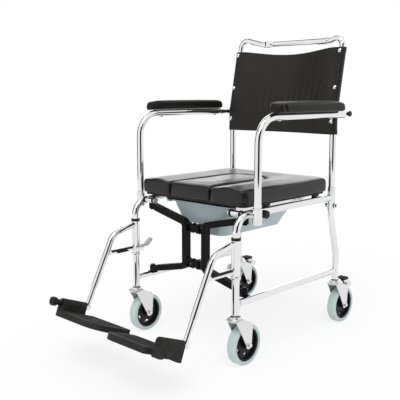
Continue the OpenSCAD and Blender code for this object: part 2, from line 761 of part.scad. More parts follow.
// Section of the pad between an outer and an inner point: up the outside, over the crown, down the inside
function pad_section(o, c, t) = let (u = unit(c - o), span = norm(c - o)) concat(
    [for (k = [0 : len(edge_in) - 1]) let (p = o + u * edge_in[k]) [p[0], p[1], t * edge_up_shares[k]]],
    [let (p = o + u * span / 2) [p[0], p[1], t + crown]],
    [for (k = [len(edge_in) - 1 : -1 : 0]) let (p = c - u * edge_in[k]) [p[0], p[1], t * edge_up_shares[k]]]);
function front_share(i) = i < len(front_up_shares) ? front_up_shares[i] : 1;

module seat_pad() color("#2b2726") placed() translate([0, seat_front, pad_z])
    loft([for (i = [0 : len(pad_plan) - 1]) let (k = min(i, len(pad_plan) - 1 - i))
        pad_section(pad_plan[i][0], pad_plan[i][1], (pad_t - crown) * front_share(k))]);

// Insert: a tongue with a round back end, crowned like the pad and a little lower
function tongue(inset) = let (x = insert_w / 2 - inset, r = max(insert_round_r - inset, edge_in[1])) concat(
    [[-x, inset], [x, inset]],
    arc([x - r, insert_d - inset - r], r, 0, 90, arc_steps),
    arc([r - x, insert_d - inset - r], r, 90, 180, arc_steps));

module seat_insert() color("#2b2726") placed() translate([0, seat_front, pad_z + rest_gap])
    loft(concat([for (k = [0 : len(edge_in) - 1]) [for (p = tongue(edge_in[k]))
        [p[0], p[1], (pad_t - crown - insert_drop) * edge_up_shares[k]]]],
        [[for (p = tongue(2 * edge_in[len(edge_in) - 1])) [p[0], p[1], pad_t - crown / 2 - insert_drop]]]));

// Saddles: a foot on top of the rail and a cheek inside it
module seat_saddles() color("#1a1a1a") placed() for (side = [left, right],
    y = [saddle_front, rail_len - saddle_back]) on_side(side) {
        cheek_x = half_w - tube_r - rest_gap - saddle_t;
        foot_x = cheek_x + saddle_t + rest_gap;
        translate([cheek_x, y - saddle_len / 2, rail_z]) cube([saddle_t, saddle_len, board_z - rail_z]);
        translate([foot_x, y - saddle_len / 2, rail_top + rest_gap])
            cube([seat_w / 2 - board_inset - foot_x, saddle_len, board_z - rail_top - rest_gap]);
    }

// Pan runners hang from the board and hold the flange of the pan
runner_x = pan_w / 2 + flange + rest_gap;
runner_z = flange_z - rest_gap - runner_t;

module pan_runners() color("silver") placed() for (side = [left, right]) on_side(side) {
    translate([runner_x, pan_front, runner_z]) cube([runner_t, pan_len, board_z - runner_z]);
    translate([runner_x + runner_t - runner_lip, pan_front, runner_z]) cube([runner_lip, pan_len, runner_t]);
}

module pan_body(inset) {
    rim_w = pan_w / 2 - inset;
    floor_w = rim_w - pan_taper_x;
    hull() {
        for (x = [pan_rim_r - inset - rim_w, rim_w - pan_rim_r + inset],
            y = [pan_front + pan_rim_r, pan_front + pan_len - pan_rim_r])
            translate([x, y, flange_z + flange_t]) cylinder(h = over, r = pan_rim_r - inset, $fn = 32);
        for (x = [pan_floor_r - floor_w, floor_w - pan_floor_r],
            y = [pan_front + pan_taper_front + pan_floor_r,
                pan_front + pan_len - pan_taper_rear - pan_floor_r])
            translate([x, y, pan_z + inset]) cylinder(h = over, r = pan_floor_r - inset, $fn = 32);
    }
}

module commode_pan() color("#a9bcc3") placed() difference() {
    union() {
        pan_body(0);
        translate([-pan_w / 2 - flange, pan_front, flange_z])
            linear_extrude(flange_t) rounded_2d(pan_w + 2 * flange, pan_len, pan_rim_r);
    }
    pan_body(pan_wall);
    translate([-pan_w, 0, flange_z + flange_t]) cube([2 * pan_w, rail_len, over + board_t]);
}

// Footrests: the hanger runs out from its sleeve, then down at a slope
hanger_knee = [-hanger_out, hanger_top_z - hanger_fall];
hanger_dir = [-sin(hanger_slope), -cos(hanger_slope)];
hanger_end = hanger_knee + hanger_len * hanger_dir;
// The sitter's left footrest is set one step lower
function ext_end(side) = hanger_end + (ext_shown + (side == left ? left_lower : 0)) * hanger_dir;
plate_dir = [-cos(plate_tilt), sin(plate_tilt)];

module hanger(side) color("gainsboro") placed() on_side(side) difference() {
    union() {
        translate([half_w, 0, sleeve_z]) cylinder(h = sleeve_h, r = sleeve_r);
        in_yz(half_w) bent([[0, hanger_top_z], hanger_knee, hanger_end], [hanger_bend_r])
            circle(hanger_d / 2);
        in_yz(half_w) translate([0, 0, -latch_bar_w / 2]) linear_extrude(latch_bar_w)
            polygon([[0, latch_bar_z], [0, latch_bar_z + latch_bar_h], latch_meet(latch_bar_z + latch_bar_h),
                latch_meet(latch_bar_z)]);
        translate([half_w - sleeve_r, 0, latch_bar_z + latch_bar_h / 2]) latch_block();
    }
    translate([half_w, 0, sleeve_z - over]) cylinder(h = sleeve_h + 2 * over, r = tube_r + run_gap);
    in_yz(half_w) bent([hanger_knee + hanger_bend_r * hanger_dir, hanger_end + over * hanger_dir], [])
        circle(ext_r + slip / 2);
}
function latch_meet(z) = [hanger_knee[0] + (hanger_knee[1] - z) * hanger_dir[0] / -hanger_dir[1], z];

// Block inboard of the sleeve, with the upright pin that the release lever turns on
module latch_block() {
    translate([-latch_box, -latch_box / 2, -latch_bar_h / 2])
        cube([latch_box + sleeve_wall, latch_box, latch_bar_h]);
    translate([-latch_box / 2, 0, latch_bar_h / 2]) cylinder(h = lever_t + 2 * rest_gap, r = latch_pin_r);
    translate([-latch_box / 2, 0, latch_bar_h / 2 + lever_t + 2 * rest_gap])
        cylinder(h = latch_pin_r, r = 2 * latch_pin_r);
}

// Release lever with a thumb paddle that rises at its end
lever_tip = [lever_len + paddle_len * cos(paddle_rise), paddle_len * sin(paddle_rise)];

module latch_lever(side) color("#c9cccb") placed() on_side(side)
    translate([half_w - sleeve_r - latch_box / 2, 0, latch_bar_z + latch_bar_h + rest_gap]) difference() {
        union() {
            cylinder(h = lever_t, r = lever_w / 2);
            in_yz(-paddle_w / 2) linear_extrude(paddle_w) polygon([[0, 0], [lever_len, 0], lever_tip,
                lever_tip + paddle_t * [-sin(paddle_rise), cos(paddle_rise)],
                [lever_len - paddle_t, lever_t], [0, lever_t]]);
        }
        translate([0, 0, -over]) cylinder(h = lever_t + 2 * over, r = latch_pin_r + run_gap);
    }

// The right pivot tube runs out to a cap, the left one ends flush with its boss
module extension(side) placed() on_side(side) {
    foot = ext_end(side);
    color("gainsboro") in_yz(half_w) bent([hanger_end - ext_hidden * hanger_dir, foot], [])
        ring_2d(ext_r, tube_wall);
    color("gainsboro") in_yz(half_w) bent([foot - pivot_tube_r * plate_dir,
        foot + (side == left ? boss_start + boss_len : pivot_tube_len) * plate_dir], []) circle(pivot_tube_r);
    if (side == right) color("black") in_yz(half_w) bent([foot + (pivot_tube_len - over) * plate_dir,
        foot + (pivot_tube_len + cap_t) * plate_dir], []) circle(cap_r);
}

// Footplate: drawn flat under its pivot tube, with y towards the toe, then tilted
module footplate(side) color("#3a3a3a") placed() on_side(side)
    translate([half_w, ext_end(side)[0], ext_end(side)[1]]) rotate([-plate_tilt, 0, 0]) mirror([0, 1, 0])
    difference() {
        union() {
            translate([plate_past, -plate_heel, -plate_drop - plate_t]) mirror([1, 0, 0])
                linear_extrude(plate_t) notched_2d();
            translate([0, boss_start, 0]) along_y(boss_len) circle(plate_boss_r);
            in_yz(-plate_boss_r) linear_extrude(2 * plate_boss_r) block_2d();
        }
        along_y(2 * plate_d) circle(pivot_tube_r + run_gap);
    }

// Block under the boss: flush with the plate's underside, with a foot at the heel and a low one at the toe
module block_2d() {
    toe = boss_start + boss_len;
    low = -plate_drop - plate_t;
    polygon([[boss_start, 0], [toe, 0], [toe, low - block_toe], [toe - block_foot_len, low - block_toe],
        [toe - block_foot_len - block_toe, low], [boss_start + block_foot_len + block_foot, low],
        [boss_start + block_foot_len, low - block_foot], [boss_start, low - block_foot]]);
}

// Plate outline, cut back at both ends of the block
module notched_2d() difference() {
    plate_2d();
    notch_w = plate_past + plate_boss_r + notch_past;
    translate([-over, -over]) square([notch_w + over, plate_heel + boss_start + notch_in + over]);
    translate([-over, plate_heel + boss_start + boss_len - notch_in]) square([notch_w + over, plate_d]);
}

module plate_2d() {
    for (p = [[plate_corner_r, plate_corner_r], [plate_w - plate_corner_r, plate_corner_r],
        [plate_corner_r, plate_d - plate_corner_r]]) translate(p) circle(plate_corner_r);
    translate([plate_w - plate_toe_r, plate_d - plate_toe_r]) circle(plate_toe_r);
    translate([plate_corner_r, 0]) square([plate_w - 2 * plate_corner_r, plate_d - plate_toe_r]);
    translate([0, plate_corner_r]) square([plate_w, plate_d - plate_corner_r - plate_toe_r]);
    translate([0, plate_corner_r]) square([plate_w - plate_toe_r, plate_d - 2 * plate_corner_r]);
    translate([plate_corner_r, 0]) square([plate_w - plate_corner_r - plate_toe_r, plate_d]);
}

// Castors: drawn about the swivel axis with the floor at zero
module at_castor(side, y) { on_side(side) translate([half_w, y - leg_ahead, 0]) children(); }

module fork_sides(x, t) {
    translate([x, 0, 0]) in_yz(0) linear_extrude(t) {
        polygon(concat([[-fork_top_half, head_z], [fork_top_rear, head_z]],
            [for (p = fork_shoulder) [p[0], head_z - p[1]]],
            [[trail + fork_end_r, axle_z], [trail - fork_end_r, axle_z]]));
        translate([trail, axle_z]) circle(fork_end_r);
    }
}

module castor_fork(side, y, braked) at_castor(side, y) {
    color("silver") difference() {
        union() {
            for (x = [-fork_x - fork_t, fork_x]) fork_sides(x, fork_t);
            translate([0, 0, head_z]) cylinder(h = head_h, r = head_r);
        }
        translate([-fork_x - over - fork_t, trail, axle_z])
            along_x(2 * (fork_x + fork_t + over)) circle(axle_d / 2);
    }
    color("black") translate([0, 0, head_z + head_h]) cylinder(h = seal_h, r = seal_r);
    color("silver") translate([0, 0, castor_h - rest_gap]) cylinder(h = stem_len, r = stem_r);
    color("silver") translate([-fork_x - fork_t, trail, axle_z])
        along_x(2 * (fork_x + fork_t)) circle(axle_d / 2);
    color("silver") for (x = [-fork_x - fork_t - axle_head_t, fork_x + fork_t])
        translate([x, trail, axle_z]) along_x(axle_head_t) circle(axle_head_r);
    if (braked) color("silver") brake_ears();
}

// Ears and pin on a braked fork, above the tyre
module brake_ears() {
    for (x = [-fork_x - fork_t, fork_x]) translate([x, brake_pin_y, brake_pin_z]) along_x(fork_t)
        circle(brake_ear_r);
    translate([-fork_x - fork_t, brake_pin_y, brake_pin_z])
        along_x(2 * (fork_x + fork_t)) circle(brake_pin_r);
}

module castor_hub(side, y) color("#1d1d1d") at_castor(side, y)
translate([0, trail, axle_z]) rotate([0, 90, 0])
    difference() {
        union() {
            translate([0, 0, -hub_w / 2]) linear_extrude(hub_w) ring_2d(hub_r, hub_rim_t);
            translate([0, 0, -hub_web_t / 2]) linear_extrude(hub_web_t) circle(hub_r - hub_rim_t / 2);
            translate([0, 0, -wheel_w / 2]) linear_extrude(wheel_w) circle(hub_boss_r);
        }
        translate([0, 0, -wheel_w]) cylinder(h = 2 * wheel_w, r = axle_d / 2 + run_gap);
        for (i = [0 : hub_spokes - 1]) rotate(i * 360 / hub_spokes) translate([0, 0, -hub_w])
            linear_extrude(2 * hub_w)
            polygon([for (p = [[hub_boss_r * 2, 0], [hub_r - 2 * hub_rim_t, spoke_hole_angle],
                [hub_r - 2 * hub_rim_t, -spoke_hole_angle]]) p[0] * [cos(p[1]), sin(p[1])]]);
    }

module castor_tyre(side, y) color("#c3d2d0") at_castor(side, y)
translate([0, trail, axle_z]) rotate([0, 90, 0])
    rotate_extrude() {
        translate([hub_r, -wheel_w / 2]) square([tyre_depth - tyre_round, wheel_w]);
        translate([hub_r, tyre_round - wheel_w / 2]) square([tyre_depth, wheel_w - 2 * tyre_round]);
        for (z = [-1, 1])
            translate([hub_r + tyre_depth - tyre_round, z * (wheel_w / 2 - tyre_round)]) circle(tyre_round);
    }

// Brake pedal: a sprung lever on the fork's pin, with a foot pad above the back of the wheel
module brake_pedal(side) at_castor(side, rear_y) translate([0, brake_pin_y, brake_pin_z]) {
    color("silver") difference() {
        union() {
            translate([-brake_w / 2, 0, 0]) along_x(brake_w) circle(2 * brake_pin_r);
            in_yz(-brake_w / 2) linear_extrude(brake_w) polygon(brake_lever);
        }
        translate([-brake_w, 0, 0]) along_x(2 * brake_w) circle(brake_pin_r + run_gap);
    }
    color("black") translate([-brake_w / 2, -pedal_ahead, pedal_up]) cube([brake_w, pedal_len, pedal_t]);
}

seat_rail(left);  // seat_rail_left
seat_rail(right);  // seat_rail_right
lower_rail(left);  // lower_rail_left
lower_rail(right);  // lower_rail_right
rear_leg(left);  // rear_leg_left
rear_leg(right);  // rear_leg_right
frame_sockets(left);  // frame_sockets_left
frame_sockets(right);  // frame_sockets_right
seat_stub(left);  // seat_stub_left
seat_stub(right);  // seat_stub_right
lock_knob(left);  // lock_knob_left
lock_knob(right);  // lock_knob_right
leg_collars(left);  // leg_collars_left
leg_collars(right);  // leg_collars_right
back_post(left);  // back_post_left
back_post(right);  // back_post_right
push_bar_link();
back_sling();
sling_snaps(left);  // sling_snaps_left
sling_snaps(right);  // sling_snaps_right
arm_hinge(left);  // arm_hinge_left
arm_hinge(right);  // arm_hinge_right
arm_tube(left);  // arm_tube_left
arm_tube(right);  // arm_tube_right
arm_pad(left);  // arm_pad_left
arm_pad(right);  // arm_pad_right
brace_brackets(left);  // brace_brackets_left
brace_brackets(right);  // brace_brackets_right
brace_half(left);  // brace_half_left
brace_half(right);  // brace_half_right
brace_links();
link_bolts();
seat_board();
seat_pad();
seat_insert();
seat_saddles();
pan_runners();
commode_pan();
hanger(left);  // hanger_left
hanger(right);  // hanger_right
latch_lever(left);  // latch_lever_left
latch_lever(right);  // latch_lever_right
extension(left);  // extension_left
extension(right);  // extension_right
footplate(left);  // footplate_left
footplate(right);  // footplate_right
castor_fork(left, 0, false);  // front_fork_left
castor_fork(right, 0, false);  // front_fork_right
castor_hub(left, 0);  // front_hub_left
castor_hub(right, 0);  // front_hub_right
castor_tyre(left, 0);  // front_tyre_left
castor_tyre(right, 0);  // front_tyre_right
castor_fork(left, rear_y, true);  // rear_fork_left
castor_fork(right, rear_y, true);  // rear_fork_right
castor_hub(left, rear_y);  // rear_hub_left
castor_hub(right, rear_y);  // rear_hub_right
castor_tyre(left, rear_y);  // rear_tyre_left
castor_tyre(right, rear_y);  // rear_tyre_right
brake_pedal(left);  // brake_pedal_left
brake_pedal(right);  // brake_pedal_right
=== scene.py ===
"""Looks of a folding shower commode chair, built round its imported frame.

Every length in the dataclasses is in millimetres and counted from the front leg, as in the part's source:
X to the sitter's left, Y towards the back, Z up from the floor. Place turns them into the frame's metres.
Only the floor and the cards of the studio are in metres.
"""

from __future__ import annotations

import json
import logging
import math
from dataclasses import dataclass, field
from enum import Enum
from typing import Any, Callable, Iterable, Sequence

import bmesh
import bpy
from mathutils import Matrix, Vector

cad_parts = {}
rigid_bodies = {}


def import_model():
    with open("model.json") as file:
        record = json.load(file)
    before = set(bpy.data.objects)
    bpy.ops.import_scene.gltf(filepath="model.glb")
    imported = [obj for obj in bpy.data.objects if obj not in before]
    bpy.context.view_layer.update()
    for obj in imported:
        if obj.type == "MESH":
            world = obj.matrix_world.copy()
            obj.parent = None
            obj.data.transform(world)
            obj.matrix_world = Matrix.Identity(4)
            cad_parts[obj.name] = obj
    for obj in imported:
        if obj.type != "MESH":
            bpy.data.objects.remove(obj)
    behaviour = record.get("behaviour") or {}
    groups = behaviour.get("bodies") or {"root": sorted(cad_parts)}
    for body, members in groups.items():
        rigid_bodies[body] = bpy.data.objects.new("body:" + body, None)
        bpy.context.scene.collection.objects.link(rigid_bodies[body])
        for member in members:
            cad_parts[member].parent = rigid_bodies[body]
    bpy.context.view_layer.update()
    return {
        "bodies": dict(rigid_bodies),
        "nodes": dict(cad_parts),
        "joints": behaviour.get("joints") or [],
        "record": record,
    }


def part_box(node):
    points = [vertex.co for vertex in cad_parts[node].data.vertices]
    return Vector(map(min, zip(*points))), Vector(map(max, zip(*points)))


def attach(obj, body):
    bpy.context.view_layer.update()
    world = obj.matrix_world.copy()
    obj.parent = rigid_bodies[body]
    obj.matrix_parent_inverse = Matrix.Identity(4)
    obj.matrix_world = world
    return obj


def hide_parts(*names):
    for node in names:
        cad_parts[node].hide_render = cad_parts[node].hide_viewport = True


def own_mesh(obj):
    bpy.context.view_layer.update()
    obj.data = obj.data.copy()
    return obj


LOG = logging.getLogger("commode_chair")
MM = 0.001
TUBE_R = 11.0
HALF_TRACK = 217.0
POLE_GAP_MM = 1e-4
MERGE_GAP_M = 1e-5
SHARP_EDGE = math.radians(20)
FLAT_TURN = math.radians(1)
COLOR, FLOAT = "NodeSocketColor", "NodeSocketFloat"

BMesh = bmesh.types.BMesh
Object = bpy.types.Object
Material = bpy.types.Material
Node = bpy.types.Node
NodeTree = bpy.types.NodeTree
Profile = Sequence[tuple[float, float]]
Triple = tuple[float, float, float]


class Side(Enum):
    """The sitter's left and right, with the sign of X on that side."""

    LEFT = 1
    RIGHT = -1

    @property
    def word(self) -> str:
        """The side's name as the CAD nodes have it."""
        return self.name.lower()


class End(Enum):
    """Front and rear castors, with the swivel's distance behind the front leg."""

    FRONT = 0.0
    REAR = 529.0

    @property
    def word(self) -> str:
        """The end's name as the CAD nodes have it."""
        return self.name.lower()


class Pattern(Enum):
    """Surface relief that a finish carries."""

    SMOOTH = "smooth"
    GRAIN = "fine_grain"
    PEBBLE = "pebbled_skin"


@dataclass(frozen=True)
class Finish:
    """One surface finish: its colour, gloss and relief.

    The relief is in millimetres and the scales are in features per metre.
    """

    name: str
    slot: str
    color: Triple
    rough: tuple[float, float]
    metallic: float = 0.0
    specular: float = 0.5
    coat: float = 0.0
    coat_rough: float = 0.1
    sheen: float = 0.0
    sheen_rough: float = 0.5
    tone_spread: float = 0.06
    tone_scale: float = 9.0
    smudge_scale: float = 14.0
    pattern: Pattern = Pattern.SMOOTH
    relief: float = 0.0
    relief_scale: float = 600.0


CHROME = Finish("chrome_plate", "tube", (0.80, 0.80, 0.81), (0.02, 0.06), metallic=1.0, tone_spread=0.02)
PLATE = Finish("bright_plate", "fitting", (0.78, 0.78, 0.79), (0.08, 0.16), metallic=1.0, tone_spread=0.02)
ZINC = Finish("zinc_plate", "zinc", (0.78, 0.78, 0.78), (0.24, 0.36), metallic=1.0, tone_spread=0.04,
              pattern=Pattern.GRAIN, relief=0.02, relief_scale=500.0)
BLACK_PAINT = Finish("satin_black_paint", "black_paint", (0.004, 0.004, 0.0042), (0.32, 0.44), specular=0.1,
                     pattern=Pattern.GRAIN, relief=0.03, relief_scale=420.0)
BLACK_PLASTIC = Finish("black_plastic", "black_plastic", (0.009, 0.009, 0.009), (0.36, 0.5), specular=0.22,
                       pattern=Pattern.GRAIN, relief=0.04, relief_scale=900.0)
GREY_PLASTIC = Finish("grey_plastic", "grey_plastic", (0.52, 0.54, 0.51), (0.3, 0.42),
                      pattern=Pattern.GRAIN, relief=0.02, relief_scale=900.0)
PLATE_PLASTIC = Finish("footplate_plastic", "plate_plastic", (0.028, 0.027, 0.0265), (0.56, 0.7), specular=0.1,
                       tone_spread=0.2, tone_scale=60.0, pattern=Pattern.GRAIN, relief=0.12, relief_scale=520.0)
ARM_SKIN = Finish("arm_pad_skin", "arm_foam", (0.0115, 0.0104, 0.0096), (0.36, 0.46), specular=0.18, sheen=0.4,
                  sheen_rough=0.2, pattern=Pattern.PEBBLE, relief=0.05, relief_scale=520.0)
VINYL = Finish("coated_cloth", "vinyl", (0.017, 0.016, 0.0145), (0.34, 0.46), specular=0.24, tone_spread=0.12,
               pattern=Pattern.PEBBLE, relief=0.08, relief_scale=420.0)
CUSHION = Finish("cushion_cloth", "cushion", (0.003, 0.0026, 0.0023), (0.27, 0.35), specular=0.4, sheen=1.0,
                 sheen_rough=0.2, tone_spread=0.12, pattern=Pattern.PEBBLE, relief=0.012, relief_scale=420.0)
BOARD = Finish("seat_board", "board", (0.016, 0.015, 0.015), (0.45, 0.6), specular=0.25,
               pattern=Pattern.GRAIN, relief=0.05, relief_scale=500.0)
PAN = Finish("pan_plastic", "pan", (0.45, 0.55, 0.58), (0.26, 0.38), coat=0.15, tone_spread=0.05,
             pattern=Pattern.GRAIN, relief=0.02, relief_scale=160.0)
TYRE = Finish("pale_tyre", "tyre", (0.55, 0.66, 0.645), (0.42, 0.56), tone_spread=0.05,
              pattern=Pattern.GRAIN, relief=0.04, relief_scale=500.0)
FINISHES = (CHROME, PLATE, ZINC, BLACK_PAINT, BLACK_PLASTIC, GREY_PLASTIC, PLATE_PLASTIC, ARM_SKIN, VINYL, CUSHION,
            BOARD, PAN, TYRE)


class Tree:
    """Short hand for the nodes of one material, world or node group."""

    def __init__(self, tree: NodeTree) -> None:
        """Keeps the tree that the nodes go into."""
        self.tree = tree

    def add(self, kind: str, values: dict[str | int, Any] | None = None, **settings: Any) -> Node:
        """Adds a node.

        Args:
            kind: Blender's name of the node type.
            values: Default values of its input sockets, by name or number.
            settings: Properties of the node itself.

        Returns:
            The new node.
        """
        node = self.tree.nodes.new(kind)
        for key, value in settings.items():
            setattr(node, key, value)
        for key, value in (values or {}).items():
            node.inputs[key].default_value = value
        return node

    def join(self, source: bpy.types.NodeSocket, target: bpy.types.NodeSocket) -> None:
        """Links an output socket to an input socket."""
        self.tree.links.new(source, target)


class Shelf:
    """Builds each shader group and each material once, and hands them out."""

    def __init__(self) -> None:
        """Starts with nothing built."""
        self.materials: dict[str, Material] = {}
        self.groups: dict[str, NodeTree] = {}

    def _group(self, name: str, inputs: Iterable[tuple[str, str]], outputs: Iterable[tuple[str, str]],
               fill: Callable[[Tree, Node, Node], None]) -> NodeTree:
        """Makes a shader group, or returns the one that was made before.

        Args:
            name: The group's name.
            inputs: Names and socket types of its inputs.
            outputs: Names and socket types of its outputs.
            fill: Adds the nodes between its input node and its output node.

        Returns:
            The group's node tree.
        """
        if name in self.groups:
            return self.groups[name]
        made = bpy.data.node_groups.new(name, "ShaderNodeTree")
        for way, sockets in (("INPUT", inputs), ("OUTPUT", outputs)):
            for label, kind in sockets:
                made.interface.new_socket(name=label, in_out=way, socket_type=kind)
        tree = Tree(made)
        fill(tree, tree.add("NodeGroupInput"), tree.add("NodeGroupOutput"))
        self.groups[name] = made
        return made

    def tone(self) -> NodeTree:
        """Builds the group that lets a colour drift a little lighter and darker over a surface.

        Returns:
            The group's node tree.
        """

        def fill(tree: Tree, source: Node, sink: Node) -> None:
            """Scales the colour by a cloudy factor between 1 - Spread and 1 + Spread.

            Args:
                tree: The group's nodes.
                source: Its input node.
                sink: Its output node.
            """
            place = tree.add("ShaderNodeTexCoord")
            cloud = tree.add("ShaderNodeTexNoise", {"Detail": 4.0, "Roughness": 0.6})
            low = tree.add("ShaderNodeMath", {0: 1.0}, operation="SUBTRACT")
            high = tree.add("ShaderNodeMath", {0: 1.0}, operation="ADD")
            span = tree.add("ShaderNodeMapRange", {"From Min": 0.3, "From Max": 0.7})
            scale = tree.add("ShaderNodeVectorMath", operation="SCALE")
            tree.join(place.outputs["Object"], cloud.inputs["Vector"])
            tree.join(source.outputs["Scale"], cloud.inputs["Scale"])
            tree.join(source.outputs["Spread"], low.inputs[1])
            tree.join(source.outputs["Spread"], high.inputs[1])
            tree.join(cloud.outputs["Fac"], span.inputs["Value"])
            tree.join(low.outputs[0], span.inputs["To Min"])
            tree.join(high.outputs[0], span.inputs["To Max"])
            tree.join(source.outputs["Color"], scale.inputs[0])
            tree.join(span.outputs["Result"], scale.inputs["Scale"])
            tree.join(scale.outputs[0], sink.inputs["Color"])

        return self._group("tone_drift", [("Color", COLOR), ("Spread", FLOAT), ("Scale", FLOAT)], [("Color", COLOR)],
                           fill)

    def smudge(self) -> NodeTree:
        """Builds the group that lets the gloss drift between two roughness values, as handling and wiping leave it.

        Returns:
            The group's node tree.
        """

        def fill(tree: Tree, source: Node, sink: Node) -> None:
            """Spreads a cloudy noise from Low to High.

            Args:
                tree: The group's nodes.
                source: Its input node.
                sink: Its output node.
            """
            place = tree.add("ShaderNodeTexCoord")
            cloud = tree.add("ShaderNodeTexNoise", {"Detail": 5.0, "Roughness": 0.65, "Distortion": 0.4})
            span = tree.add("ShaderNodeMapRange", {"From Min": 0.32, "From Max": 0.68})
            tree.join(place.outputs["Object"], cloud.inputs["Vector"])
            tree.join(source.outputs["Scale"], cloud.inputs["Scale"])
            tree.join(cloud.outputs["Fac"], span.inputs["Value"])
            tree.join(source.outputs["Low"], span.inputs["To Min"])
            tree.join(source.outputs["High"], span.inputs["To Max"])
            tree.join(span.outputs["Result"], sink.inputs["Roughness"])

        return self._group("wiped_gloss", [("Scale", FLOAT), ("Low", FLOAT), ("High", FLOAT)], [("Roughness", FLOAT)],
                           fill)

    def grain(self) -> NodeTree:
        """Builds the group with the fine even relief of moulded plastic and sprayed or plated metal.

        Returns:
            The group's node tree.
        """

        def fill(tree: Tree, source: Node, sink: Node) -> None:
            """Hands out a fine noise as height.

            Args:
                tree: The group's nodes.
                source: Its input node.
                sink: Its output node.
            """
            place = tree.add("ShaderNodeTexCoord")
            speck = tree.add("ShaderNodeTexNoise", {"Detail": 2.0, "Roughness": 0.5})
            tree.join(place.outputs["Object"], speck.inputs["Vector"])
            tree.join(source.outputs["Scale"], speck.inputs["Scale"])
            tree.join(speck.outputs["Fac"], sink.inputs["Height"])

        return self._group(Pattern.GRAIN.value, [("Scale", FLOAT)], [("Height", FLOAT)], fill)

    def pebble(self) -> NodeTree:
        """Builds the group with the rounded cells and fine creases of embossed coated cloth.

        Returns:
            The group's node tree.
        """

        def fill(tree: Tree, source: Node, sink: Node) -> None:
            """Adds a fine noise to the height of slightly warped cells.

            Args:
                tree: The group's nodes.
                source: Its input node.
                sink: Its output node.
            """
            place = tree.add("ShaderNodeTexCoord")
            warp = tree.add("ShaderNodeTexNoise", {"Scale": 60.0, "Detail": 2.0})
            shift = tree.add("ShaderNodeVectorMath", {1: (0.004, 0.004, 0.004)}, operation="MULTIPLY_ADD")
            cells = tree.add("ShaderNodeTexVoronoi", feature="SMOOTH_F1")
            crease = tree.add("ShaderNodeTexNoise", {"Detail": 3.0})
            mix = tree.add("ShaderNodeMath", {1: 0.35}, operation="MULTIPLY_ADD")
            tree.join(place.outputs["Object"], warp.inputs["Vector"])
            tree.join(warp.outputs["Color"], shift.inputs[0])
            tree.join(place.outputs["Object"], shift.inputs[2])
            tree.join(shift.outputs[0], cells.inputs["Vector"])
            tree.join(shift.outputs[0], crease.inputs["Vector"])
            tree.join(source.outputs["Scale"], cells.inputs["Scale"])
            tree.join(source.outputs["Scale"], crease.inputs["Scale"])
            tree.join(crease.outputs["Fac"], mix.inputs[0])
            tree.join(cells.outputs["Distance"], mix.inputs[2])
            tree.join(mix.outputs[0], sink.inputs["Height"])

        return self._group(Pattern.PEBBLE.value, [("Scale", FLOAT)], [("Height", FLOAT)], fill)

    def material(self, finish: Finish) -> Material:
        """Builds the material of a finish, or returns the one that was built before.

        Args:
            finish: The finish to build.

        Returns:
            The material.
        """
        if finish.name in self.materials:
            return self.materials[finish.name]
        made = bpy.data.materials.new(finish.name)
        made.use_nodes = True
        tree = Tree(made.node_tree)
        shader = made.node_tree.nodes["Principled BSDF"]
        for socket, value in (("Metallic", finish.metallic), ("Specular IOR Level", finish.specular),
                              ("Coat Weight", finish.coat), ("Coat Roughness", finish.coat_rough),
                              ("Sheen Weight", finish.sheen), ("Sheen Roughness", finish.sheen_rough)):
            shader.inputs[socket].default_value = value
        tone = tree.add("ShaderNodeGroup", {"Color": (*finish.color, 1.0), "Spread": finish.tone_spread,
                                            "Scale": finish.tone_scale}, node_tree=self.tone())
        tree.join(tone.outputs["Color"], shader.inputs["Base Color"])
        low, high = finish.rough
        gloss = tree.add("ShaderNodeGroup", {"Scale": finish.smudge_scale, "Low": low, "High": high},
                         node_tree=self.smudge())
        tree.join(gloss.outputs["Roughness"], shader.inputs["Roughness"])
        if finish.pattern is not Pattern.SMOOTH:
            group = self.grain() if finish.pattern is Pattern.GRAIN else self.pebble()
            relief = tree.add("ShaderNodeGroup", {"Scale": finish.relief_scale}, node_tree=group)
            bump = tree.add("ShaderNodeBump", {"Strength": 1.0, "Distance": finish.relief * MM})
            tree.join(relief.outputs["Height"], bump.inputs["Height"])
            tree.join(bump.outputs["Normal"], shader.inputs["Normal"])
        self.materials[finish.name] = made
        return made


@dataclass
class Place:
    """Turns millimetres counted from the front leg into the frame's metres."""

    tube_r: float = TUBE_R
    ahead: float = field(init=False)

    def __post_init__(self) -> None:
        """Reads the front leg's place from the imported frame."""
        self.ahead = -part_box("seat_rail_left")[0].y - self.tube_r * MM

    def at(self, x: float, y: float, z: float) -> Vector:
        """The point in the frame, in metres."""
        return Vector((x * MM, y * MM - self.ahead, z * MM))

    def matrix(self, x: float, y: float, z: float, axis: Sequence[float] = (0, 0, 1)) -> Matrix:
        """Scales millimetres to metres, turns +Z to an axis and moves the shape.

        Args:
            x: Place across.
            y: Place behind the front leg.
            z: Place above the floor.
            axis: Direction that the shape's +Z takes.

        Returns:
            The transform for a shape that was drawn in millimetres.
        """
        turn = Vector((0, 0, 1)).rotation_difference(Vector(axis)).to_matrix().to_4x4()
        return Matrix.Translation(self.at(x, y, z)) @ turn @ Matrix.Scale(MM, 4)


